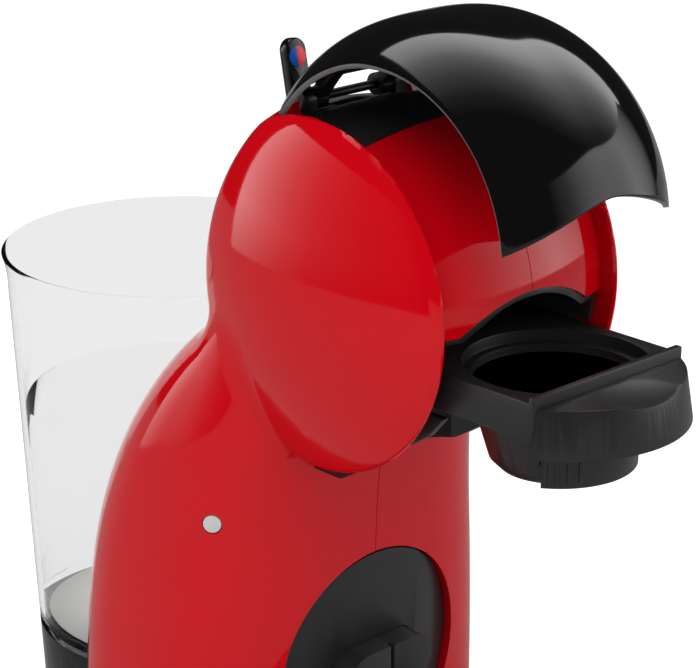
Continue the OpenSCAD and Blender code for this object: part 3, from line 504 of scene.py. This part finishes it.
# %% The cutters of the red body
face_profile = [(face_r(x), x) for x in np.linspace(-FACE_X, FACE_X, 41)]
chamfer = [(55.2, FACE_X), (56.6, CHEEK_X), (62, CHEEK_X)]
recess = lathe("recess", face_profile + chamfer + [(r, -x) for r, x in reversed(chamfer)],
               red_gloss, "x", (0, 0, HEAD_Z), 160, True, (92, 268))
FACE_TOP, CROWN_END = math.radians(18.4), math.radians(68)  # in front of straight up, and up from the rear
BACK_X, FAR = 24, 120  # half the rear cover's width, and well outside the head
window = extruded("window", [
    (0, HEAD_Z), (-FAR * math.sin(FACE_TOP), HEAD_Z + FAR * math.cos(FACE_TOP)),
    (FAR * math.cos(CROWN_END), HEAD_Z + FAR * math.sin(CROWN_END))], red_gloss, "yz", -FACE_X, FACE_X)
rear_window = extruded("rear_window", [(-1, 186), (-1, 330), (FAR, 330), (FAR, 186)],
                       red_gloss, "yz", -BACK_X, BACK_X)
MOUTH_Z, ARCH_X, ARCH_H = 207.3, 28.0, 9.4


def arch_z(x, out=0.0):
    return MOUTH_Z + out + ARCH_H * max(0.0, 1 - (x / (ARCH_X + out)) ** 2)


column_front = [(float(front_y(z)) - 0.4, z) for z in (139.0, 150.0, 160.0, 170.0, 180.0, 190.0)]
under = extruded("under", [(-95, 139)] + column_front + [(float(front_y(196.0)) - 0.4, MOUTH_Z), (-95, MOUTH_Z)],
                 red_gloss, "yz", -FACE_X, FACE_X)
arch_side = FACE_X - 3
arch_top = [(x, arch_z(x)) for x in np.linspace(arch_side, -FACE_X + 3, 45)]
arch = extruded("arch", [(-FACE_X + 3, 150), (arch_side, 150)] + arch_top, red_gloss, "xz", -95, 0)
NEST_R = 61.9  # a little wider than the rear cover's surface, so that the two never share a place
nest = lathe("nest", [(0, -20), (NEST_R, -20), (NEST_R, 300), (0, 300)], red_gloss, "z", (0, 114.3, 0), 256)
DISC_Z, DISC_R = 69.3, 38.8
disc_hole = lathe("disc_hole", [(0, -25), (DISC_R + 0.7, -25), (DISC_R + 0.7, 40), (0, 40)],
                  red_gloss, "y", (0, 0, DISC_Z), 160)
floor_cut = extruded("floor_cut", [(-200, -90), (250, -90), (250, FOOT_Z), (-200, FOOT_Z)],
                     red_gloss, "yz", -120, 120)
seam_cut = extruded("seam_cut", [(-100, -10), (100, -10), (100, 300), (-100, 300)], red_gloss, "yz", -0.15, 0.15)
BUTTON = np.array([-57.0, 27.5, 131.5])
BUTTON_TURN = math.radians(40.6)
button_hole = lathe("button_hole", [(0, -12), (3.3, -12), (3.3, 14), (0, 14)], red_gloss, "z", steps=48)
turn = Matrix.Rotation(BUTTON_TURN, 4, "Z") @ Matrix.Rotation(-math.pi / 2, 4, "Y")
shift = Matrix.Translation(Vector(to_frame([BUTTON])[0]))
home = Matrix.Translation(-Vector(to_frame([(0, 0, 0)])[0]))
button_hole.data.transform(shift @ turn @ home)
cut(shell, nest, window, rear_window, recess, under, arch, disc_hole, floor_cut, button_hole, seam_cut)
smooth_by_angle(shell.data, 32)
finished(shell, "machine", "red_gloss", "body_shell_left", "body_shell_right")

# %% [markdown]
# ## The hood
# The hood is a main piece that follows a rule: its radius falls off from a crest in the middle to the
# two side edges, and its front edge rises in an arch. Geometry Nodes can state that rule. A grid is
# laid out by angle and width, each point is set to the radius that the rule gives, and every number
# of the rule is a named input of the modifier.

# %% Arithmetic on fields
class Field:
    """A number that varies over a mesh inside a node tree, with ordinary arithmetic."""

    def __init__(self, tree, socket):
        self.tree, self.socket = tree, socket

    def _math(self, operation, other=None, swap=False):
        a, b = (self.socket, getattr(other, "socket", other))
        if swap:
            a, b = b, a
        inputs = {0: a} if other is None else {0: a, 1: b}
        return Field(self.tree, add(self.tree, "ShaderNodeMath", inputs, operation=operation).outputs[0])

    def __add__(self, o): return self._math("ADD", o)
    def __radd__(self, o): return self._math("ADD", o)
    def __sub__(self, o): return self._math("SUBTRACT", o)
    def __rsub__(self, o): return self._math("SUBTRACT", o, True)
    def __mul__(self, o): return self._math("MULTIPLY", o)
    def __rmul__(self, o): return self._math("MULTIPLY", o)
    def __truediv__(self, o): return self._math("DIVIDE", o)
    def __pow__(self, o): return self._math("POWER", o)
    def abs(self): return self._math("ABSOLUTE")
    def sin(self): return self._math("SINE")
    def cos(self): return self._math("COSINE")
    def asin(self): return self._math("ARCSINE")


def geometry_tree(name, inputs):
    """A modifier tree, its two end nodes and its inputs as fields."""
    tree, start, end = new_group(name, inputs, [("Geometry", "NodeSocketGeometry")], "GeometryNodeTree")
    tree.is_modifier = True
    return tree, start, end, {k: Field(tree, start.outputs[k]) for k, kind, v in inputs if kind == FLOAT}


def close_tree(tree, geometry, start, end):
    """The end of every tree: real geometry, with its material."""
    real = add(tree, "GeometryNodeRealizeInstances", {"Geometry": geometry})
    coated = add(tree, "GeometryNodeSetMaterial", {
        "Geometry": real.outputs[0], "Material": start.outputs["Material"]})
    tree.links.new(coated.outputs[0], end.inputs["Geometry"])


def run_tree(name, tree, material, mesh=None):
    """Runs a tree on an empty object and keeps the result as a plain mesh."""
    obj = bpy.data.objects.new(name, mesh or bpy.data.meshes.new(name))
    bpy.context.scene.collection.objects.link(obj)
    mod = obj.modifiers.new(name, "NODES")
    mod.node_group = tree
    for item in tree.interface.items_tree:
        if item.item_type == "SOCKET" and item.in_out == "INPUT" and item.socket_type == "NodeSocketMaterial":
            mod[item.identifier] = material
    return plain_mesh(obj)


# %% The hood's tree
HOOD_X, HOOD_EDGE, HOOD_CREST = 36.6, 51.7, 63.0
HOOD_Y, HOOD_Z = -25.25, 234.0
hood_tree, start, end, h = geometry_tree("hood_skin", [
    ("Material", "NodeSocketMaterial", None), ("Half Width", FLOAT, HOOD_X), ("Edge Radius", FLOAT, HOOD_EDGE),
    ("Crest Radius", FLOAT, HOOD_CREST), ("Rear Angle", FLOAT, 35.0), ("Corner Rise", FLOAT, 5.0),
    ("Front Arch", FLOAT, 12.8)])
grid = add(hood_tree, "GeometryNodeMeshGrid", {"Size X": 2.0, "Size Y": 1.0, "Vertices X": 65, "Vertices Y": 97})
place = add(hood_tree, "ShaderNodeSeparateXYZ", {0: add(hood_tree, "GeometryNodeInputPosition").outputs[0]})
side, along = Field(hood_tree, place.outputs["X"]), Field(hood_tree, place.outputs["Y"]) + 0.5
x = side * h["Half Width"]
radius = h["Edge Radius"] + (h["Crest Radius"] - h["Edge Radius"]) * (1 - side.abs() ** 3.0)
rise = h["Corner Rise"] + h["Front Arch"] * (1 - (side.abs() * 0.9735) ** 1.6)
front = math.pi - (rise / radius).asin()
rear = h["Rear Angle"] * math.radians(1)
angle = rear + (front - rear) * along
spot = add(hood_tree, "ShaderNodeCombineXYZ", {
    "X": (x * MM).socket, "Y": ((radius * angle.cos() + (HOOD_Y - Y_MID)) * MM).socket,
    "Z": ((radius * angle.sin() + HOOD_Z) * MM).socket})
moved = add(hood_tree, "GeometryNodeSetPosition", {"Geometry": grid.outputs["Mesh"], "Position": spot.outputs[0]})
close_tree(hood_tree, moved.outputs[0], start, end)
hood = run_tree("hood_shell", hood_tree, black_gloss)
bm = bmesh.new()
bm.from_mesh(hood.data)
up = sum((f.normal.dot(Vector((0, 0, 1))) for f in bm.faces))
if up < 0:
    bmesh.ops.reverse_faces(bm, faces=bm.faces)
bm.to_mesh(hood.data)
bm.free()
# The wall's rim takes the lighter grey: a painted highlight along the hood's edge.
hood.data.materials.append(grey_rim_painted_highlight)
wall = hood.modifiers.new("wall", "SOLIDIFY")
wall.thickness = 2.0 * MM
wall.offset = -1
wall.material_offset_rim = 1
soft = hood.modifiers.new("soft edges", "BEVEL")
soft.limit_method = "ANGLE"
soft.angle_limit = math.radians(50)
soft.width = 0.35 * MM
soft.segments = 2
plain_mesh(hood)
smooth_by_angle(hood.data, 40)
finished(hood, "hood", "black_gloss", "hood_cover")

# %% [markdown]
# ## Screws and ribs
# What repeats is placed by two small trees. One sets socket head screws on a grid, the other stands
# flat ribs round a ring; how many, how far apart and how large are named inputs.

# %% The screw grid
screw_tree, start, end, q = geometry_tree("screw_grid", [
    ("Material", "NodeSocketMaterial", None), ("Across", FLOAT, 44.0), ("Up", FLOAT, 100.0), ("Depth", FLOAT, 25.7),
    ("Middle Height", FLOAT, 110.0), ("Head Radius", FLOAT, 2.8), ("Head Height", FLOAT, 1.6)])
spots = add(screw_tree, "GeometryNodeMeshGrid", {"Size X": (q["Across"] * MM).socket, "Size Y": (q["Up"] * MM).socket,
                                                 "Vertices X": 2, "Vertices Y": 2})
head = add(screw_tree, "GeometryNodeMeshCylinder", {
    "Vertices": 40, "Radius": (q["Head Radius"] * MM).socket, "Depth": (q["Head Height"] * MM).socket})
key = add(screw_tree, "GeometryNodeMeshCylinder", {
    "Vertices": 6, "Radius": (q["Head Radius"] * 0.43 * MM).socket, "Depth": (q["Head Height"] * MM).socket})
sunk = add(screw_tree, "ShaderNodeCombineXYZ", {"Z": (q["Head Height"] * -0.55 * MM).socket})
key_low = add(screw_tree, "GeometryNodeTransform", {"Geometry": key.outputs["Mesh"], "Translation": sunk.outputs[0]})
socketed = add(screw_tree, "GeometryNodeMeshBoolean", {"Mesh 1": head.outputs["Mesh"], "Mesh 2": key_low.outputs[0]},
               operation="DIFFERENCE")
shank = add(screw_tree, "GeometryNodeMeshCylinder", {
    "Vertices": 24, "Radius": (q["Head Radius"] * 0.535 * MM).socket, "Depth": 0.009})
shank_up = add(screw_tree, "GeometryNodeTransform", {
    "Geometry": shank.outputs["Mesh"], "Translation": (0, 0, 0.0053)})
whole = add(screw_tree, "GeometryNodeJoinGeometry")
screw_tree.links.new(socketed.outputs[0], whole.inputs[0])
screw_tree.links.new(shank_up.outputs[0], whole.inputs[0])
set_out = add(screw_tree, "GeometryNodeInstanceOnPoints", {
    "Points": spots.outputs["Mesh"], "Instance": whole.outputs[0]})
where_to = add(screw_tree, "ShaderNodeCombineXYZ", {
    "Y": (q["Depth"] * MM).socket, "Z": (q["Middle Height"] * MM).socket})
stood = add(screw_tree, "GeometryNodeTransform", {
    "Geometry": set_out.outputs[0], "Translation": where_to.outputs[0], "Rotation": (math.pi / 2, 0, 0)})
close_tree(screw_tree, stood.outputs[0], start, end)
screws = run_tree("cover_screws", screw_tree, steel)
smooth_by_angle(screws.data, 35)
finished(screws, cad["rear_cover_screws"]["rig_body"], slot_of["rear_cover_screws"], "rear_cover_screws")

# %% The ring of ribs
rib_tree, start, end, q = geometry_tree("rib_ring", [
    ("Material", "NodeSocketMaterial", None), ("Count", "NodeSocketInt", 4), ("First Angle", FLOAT, -144.0),
    ("Step Angle", FLOAT, 8.0), ("Radius", FLOAT, 25.35), ("Thickness", FLOAT, 1.3), ("Stand Out", FLOAT, 1.3),
    ("Height", FLOAT, 15.0), ("Middle Height", FLOAT, 175.0), ("Centre Depth", FLOAT, -99.225)])
row = add(rib_tree, "GeometryNodeMeshLine", {"Count": start.outputs["Count"]})
number = Field(rib_tree, add(rib_tree, "GeometryNodeInputIndex").outputs[0])
turned = (q["First Angle"] + q["Step Angle"] * number) * math.radians(1)
spot = add(rib_tree, "ShaderNodeCombineXYZ", {
    "X": (q["Radius"] * turned.cos() * MM).socket,
    "Y": ((q["Radius"] * turned.sin() + q["Centre Depth"]) * MM).socket,
    "Z": (q["Middle Height"] * MM).socket})
spread = add(rib_tree, "GeometryNodeSetPosition", {"Geometry": row.outputs["Mesh"], "Position": spot.outputs[0]})
size = add(rib_tree, "ShaderNodeCombineXYZ", {
    "X": (q["Stand Out"] * MM).socket, "Y": (q["Thickness"] * MM).socket, "Z": (q["Height"] * MM).socket})
rib = add(rib_tree, "GeometryNodeMeshCube", {"Size": size.outputs[0]})
facing = add(rib_tree, "ShaderNodeCombineXYZ", {"Z": turned.socket})
set_out = add(rib_tree, "GeometryNodeInstanceOnPoints", {
    "Points": spread.outputs[0], "Instance": rib.outputs["Mesh"], "Rotation": facing.outputs[0]})
close_tree(rib_tree, set_out.outputs[0], start, end)
ribs = run_tree("cup_ribs", rib_tree, black_matt)
soft = ribs.modifiers.new("soft edges", "BEVEL")
soft.width, soft.segments = 0.25 * MM, 2
plain_mesh(ribs)
smooth_by_angle(ribs.data, 40)
finished(ribs, cad["capsule_cup"]["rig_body"], slot_of["capsule_cup"])

# %% [markdown]
# ## Dressed solids
# The plain black mouldings keep the shape of their solids and gain rounded edges.

# %% Dress the mouldings
GUARD_LOW = 148.0  # the guard under the drawer ends here, above the column's shoulder
for node, material, width in (
    ("capsule_drawer", black_matt, 0.6), ("capsule_cup", black_matt, 0.3), ("drawer_grip", black_matt, 0.5),
    ("drawer_guide", black_matt, 0.3), ("head_top_deck", black_matt, 0.3),
    ("head_back_cover", black_gloss, 0.4), ("selector_lever", black_gloss, 1.1), ("cold_mark", blue_plastic, 0.08),
    ("hot_mark", warm_red_plastic, 0.08), ("power_button", pale_button, 0.35), ("drip_disc", grey_matt, 0.5),
    ("tray_mount", grey_matt, 0.5), ("drip_dish", grey_matt, 0.6), ("tank_pedestal", black_gloss, 0.5),
    ("brew_head", black_gloss, 0.4), ("hood_liner", black_matt, 0.25), ("hood_hinge_pin", black_matt, 0.2),
    ("rear_cover", black_matt, 0.3),
):
    dressed(node, material, width)
BUTTON_LIFT = 2.6  # the skin bulges more than the solid there, so the button stands further out
button = bpy.data.objects["power_button_dressed"]
outwards = Vector((-math.cos(BUTTON_TURN), -math.sin(BUTTON_TURN), 0))
button.data.transform(Matrix.Translation(outwards * BUTTON_LIFT * MM))
guard = dressed("chin_guard", black_matt, 0.5)
bm = bmesh.new()
bm.from_mesh(guard.data)
low = bmesh.ops.bisect_plane(bm, geom=bm.verts[:] + bm.edges[:] + bm.faces[:], dist=1e-6,
                             plane_co=(0, 0, GUARD_LOW * MM), plane_no=(0, 0, -1), clear_outer=True)
bmesh.ops.holes_fill(bm, edges=[e for e in low["geom_cut"] if isinstance(e, bmesh.types.BMEdge)])
bmesh.ops.recalc_face_normals(bm, faces=bm.faces)
bm.to_mesh(guard.data)
bm.free()

# %% [markdown]
# ## The tank and its water
# The tank is a turned shape with a thin wall, a rounded foot and a lip that flares out. The water is
# a separate closed body, a hair smaller than the inside of the wall, so that light bends twice as it
# does in a full glass.

# %% Tank
TANK_Y, TANK_R, TAPER, LIP_R, DECK_Z, TANK_WALL = 114.3, 51.8, 0.047, 59.75, 52.5, 1.8


def tank_r(z):
    flare = max(0.0, (z - 184) / 8.5)
    return TANK_R + (z - DECK_Z) * TAPER + (LIP_R - TANK_R - 140 * TAPER) * min(1, flare) ** 1.7


heights = [56.5, 60, 70, 90, 120, 150, 170, 180, 184, 186, 187.5, 189, 190.3, 191.4]
foot = [(tank_r(56.5) - 3.4 * (1 - math.sin(t)), 56.5 - 3.7 * math.cos(t))
        for t in np.linspace(0, math.pi / 2, 7)][:-1]
out_line = [(0, 52.8), (30, 52.8)] + foot + [(tank_r(z), z) for z in heights]
lip = [(LIP_R - 0.15, 191.9), (LIP_R - 0.6, 192.4), (LIP_R - 1.2, 192.5), (LIP_R - 1.7, 192.3), (LIP_R - 1.9, 191.8)]
in_line = [(max(0, r - TANK_WALL), z) for r, z in reversed([(tank_r(z), z) for z in heights[:-1]])]
in_foot = [(r - TANK_WALL, z + 1.2) for r, z in reversed(foot)]
tank = lathe("tank_wall", out_line + lip + in_line + in_foot + [(30, 55.0), (0, 55.0)],
             clear, "z", (0, TANK_Y, 0), 160)
smooth_by_angle(tank.data, 50)
finished(tank, "tank", "clear", "water_tank")

# a thin pale disc between wall and water stands for the frosted bottom
frost = lathe("tank_frosted_foot", [(0, 55.08), (46.5, 55.08), (46.5, 55.2), (0, 55.2)],
              silicone, "z", (0, TANK_Y, 0), 96)
finished(frost, "tank", "clear")

WATER_Z = 137.0
water_line = [(0, 55.3), (30, 55.3)] + [(r - TANK_WALL - 0.25, z + 1.5) for r, z in foot]
water_line += [(tank_r(z) - TANK_WALL - 0.25, z) for z in (60, 70, 90, 120, WATER_Z - 0.6)]
water_line += [(tank_r(WATER_Z) - TANK_WALL - 0.7, WATER_Z), (0, WATER_Z)]
pool = lathe("tank_water", water_line, water, "z", (0, TANK_Y, 0), 160)
smooth_by_angle(pool.data, 50)
finished(pool, "tank", "clear")

# %% [markdown]
# ## Camera
# A long lens from the front left, a little above the machine, looking at the middle of the picture.

# %% Camera
TURN, RISE, AWAY = math.radians(43.38), math.radians(19.52), 0.77829
target = Vector((-0.02285, -0.033225, 0.19393))
back = Vector((-math.sin(TURN) * math.cos(RISE), -math.cos(TURN) * math.cos(RISE), math.sin(RISE)))
lens = bpy.data.cameras.new("camera")
lens.lens, lens.sensor_width, lens.sensor_fit = 128.25, 36.0, "HORIZONTAL"
lens.clip_start, lens.clip_end = 0.05, 20
camera = bpy.data.objects.new("camera", lens)
camera.location = target + back * AWAY
camera.rotation_euler = (-back).to_track_quat("-Z", "Y").to_euler()
bpy.context.scene.collection.objects.link(camera)
bpy.context.scene.camera = camera

# %% [markdown]
# ## Light
# Glossy plastic is drawn by what it reflects, and flat colour by the light that falls on it. The two
# are kept apart here: an even sky and two soft boxes light the colours, and large glowing cards with a
# gradient, which only glossy rays can see, draw the highlights. The tall card behind the left side
# gives the cheek and the column their bright band with its crisp rear edge; the ceiling card does the
# same for the hood. The backdrop is white only for rays from the camera, straight or through something
# clear, so it adds no light.

# %% World
SKY_LIGHT, DARK_STUDIO = 0.78, 0.02  # what falls on colours, and what gloss sees beside the cards


def eye_rays(tree):
    """Light path, whether the ray came through something clear, and whether it shows the backdrop."""
    path = add(tree, "ShaderNodeLightPath")
    through = add(tree, "ShaderNodeMath", {0: path.outputs["Transmission Depth"], 1: 0.5}, operation="GREATER_THAN")
    seen = add(tree, "ShaderNodeMath", {0: path.outputs["Is Camera Ray"], 1: through.outputs[0]}, operation="MAXIMUM")
    return path, through, seen


def line_of(tree, value, factor, offset):
    """value * factor + offset"""
    scaled = add(tree, "ShaderNodeMath", {0: value, 1: factor}, operation="MULTIPLY")
    return add(tree, "ShaderNodeMath", {0: scaled.outputs[0], 1: offset}, operation="ADD")


world = bpy.data.worlds.new("studio")
bpy.context.scene.world = world
world.use_nodes = True
wt = world.node_tree
wt.nodes.clear()
path, through, seen = eye_rays(wt)
lit = add(wt, "ShaderNodeBackground", {"Color": (1, 1, 1, 1), "Strength": SKY_LIGHT})
dim = add(wt, "ShaderNodeBackground", {"Color": (1, 1, 1, 1), "Strength": DARK_STUDIO})
through_dim = line_of(wt, through.outputs[0], -0.01, 1.0)
white = add(wt, "ShaderNodeBackground", {"Color": (1, 1, 1, 1), "Strength": through_dim.outputs[0]})
first = add(wt, "ShaderNodeMixShader", {0: path.outputs["Is Glossy Ray"], 1: lit.outputs[0], 2: dim.outputs[0]})
both = add(wt, "ShaderNodeMixShader", {0: seen.outputs[0], 1: first.outputs[0], 2: white.outputs[0]})
add(wt, "ShaderNodeOutputWorld", {"Surface": both.outputs[0]})


def softbox(name, place, aim, width, height, watts):
    light = bpy.data.lights.new(name, "AREA")
    light.shape, light.size, light.size_y, light.energy = "RECTANGLE", width, height, watts
    lamp = bpy.data.objects.new(name, light)
    lamp.location = place
    lamp.rotation_euler = (Vector(aim) - Vector(place)).to_track_quat("-Z", "Y").to_euler()
    lamp.visible_glossy = False
    lamp.visible_transmission = False
    bpy.context.scene.collection.objects.link(lamp)
    return lamp


softbox("top_box", (-0.5, -0.35, 1.3), (0, -0.05, 0.2), 1.2, 1.2, 5)
softbox("front_fill", (-0.3, -1.4, 0.7), (0, -0.05, 0.15), 1.0, 1.0, 2)

# %% Glowing cards
glow = bpy.data.materials.new("card_glow")
glow.use_nodes = True
glow.cycles.emission_sampling = "NONE"
gt = glow.node_tree
gt.nodes.clear()
gpath = add(gt, "ShaderNodeLightPath")
strength = add(gt, "ShaderNodeAttribute", attribute_name="glow")
shine = add(gt, "ShaderNodeEmission", {"Color": (1, 1, 1, 1), "Strength": strength.outputs["Fac"]})
clear_air = add(gt, "ShaderNodeBsdfTransparent")
card_mix = add(gt, "ShaderNodeMixShader", {
    0: gpath.outputs["Is Glossy Ray"], 1: clear_air.outputs[0], 2: shine.outputs[0]})
add(gt, "ShaderNodeOutputMaterial", {"Surface": card_mix.outputs[0]})


def card(name, place, columns, rows, brightness):
    """A sheet over a grid of places, with its brightness stored at every corner."""
    points = [place(u, v) for v in rows for u in columns]
    n = len(columns)
    faces = [(j * n + i, j * n + i + 1, (j + 1) * n + i + 1, (j + 1) * n + i)
             for j in range(len(rows) - 1) for i in range(n - 1)]
    mesh = bpy.data.meshes.new(name)
    mesh.from_pydata(points, [], faces)
    mesh.materials.append(glow)
    mesh.attributes.new("glow", "FLOAT", "POINT").data.foreach_set(
        "value", [brightness(u, v) for v in rows for u in columns])
    obj = bpy.data.objects.new(name, mesh)
    bpy.context.scene.collection.objects.link(obj)
    return obj


CARD_AWAY, CARD_Y, CEILING = 1.3, -0.033, 1.28  # metres


def round_machine(u, v):
    """A place on a drum round the machine; u is the compass angle, 0 front, -90 left, v the height."""
    return CARD_AWAY * math.sin(math.radians(u)), CARD_Y - CARD_AWAY * math.cos(math.radians(u)), v


FADE_LEFT = ([-157, -152, -148, -140, -131, -120, -108, -96, -82, -60],
             [2.7, 2.35, 2.1, 1.45, 0.87, 0.42, 0.22, 0.13, 0.10, 0.0])
card("left_card", round_machine, list(np.linspace(-157, -60, 98)), [0.0, 0.25, 0.5, 0.75, 0.9, 1.04],
     lambda u, v: float(np.interp(u, *FADE_LEFT)) * (0.45 + 0.55 * min(1, v / 0.25)))
# a weaker card in front on the right, for the sheen of the matt mouldings
FADE_FRONT = ([5, 25, 55, 80], [0.0, 0.5, 2.2, 0.0])
card("front_card", round_machine, list(np.linspace(5, 80, 38)), [0.1, 0.25, 0.5, 0.85],
     lambda u, v: float(np.interp(u, *FADE_FRONT)))
# the ceiling card; u runs towards the rear right, where it is brightest and ends
FADE_TOP = ([-0.5, -0.25, 0.0, 0.11, 0.31, 0.43, 0.58, 0.9], [0.0, 0.2, 0.75, 1.13, 1.85, 2.6, 3.1, 3.3])
card("ceiling_card", lambda u, v: (0.447 * u + 0.894 * v, CARD_Y + 0.894 * u - 0.447 * v, CEILING),
     list(np.linspace(-0.5, 0.9, 71)), list(np.linspace(-0.5, 2.4, 7)), lambda u, v: float(np.interp(u, *FADE_TOP)))

# %% Floor
floor_mat = bpy.data.materials.new("floor")
floor_mat.use_nodes = True
ft = floor_mat.node_tree
fb = ft.nodes["Principled BSDF"]
fb.inputs["Roughness"].default_value = 0.9
fb.inputs["Specular IOR Level"].default_value = 0.0
fpath, fthrough, fseen = eye_rays(ft)
fless = add(ft, "ShaderNodeMath", {0: fthrough.outputs[0], 1: -0.1}, operation="MULTIPLY")
fmore = add(ft, "ShaderNodeMath", {0: fseen.outputs[0], 1: 0.5}, operation="MULTIPLY")
fglow = add(ft, "ShaderNodeMath", {0: fmore.outputs[0], 1: fless.outputs[0]}, operation="ADD", use_clamp=True)
fgrey = line_of(ft, fpath.outputs["Is Glossy Ray"], -0.4, 0.8)  # gloss sees a darker floor
ft.links.new(fgrey.outputs[0], fb.inputs["Base Color"])
fb.inputs["Emission Color"].default_value = (1, 1, 1, 1)
ft.links.new(fglow.outputs[0], fb.inputs["Emission Strength"])
floor_mesh = bpy.data.meshes.new("floor")
floor_mesh.from_pydata([(-4, -4, 0), (4, -4, 0), (4, 4, 0), (-4, 4, 0)], [], [(0, 1, 2, 3)])
floor_mesh.materials.append(floor_mat)
floor = bpy.data.objects.new("floor", floor_mesh)
bpy.context.scene.collection.objects.link(floor)

# %% Colour management
bpy.context.scene.view_settings.view_transform = "Standard"
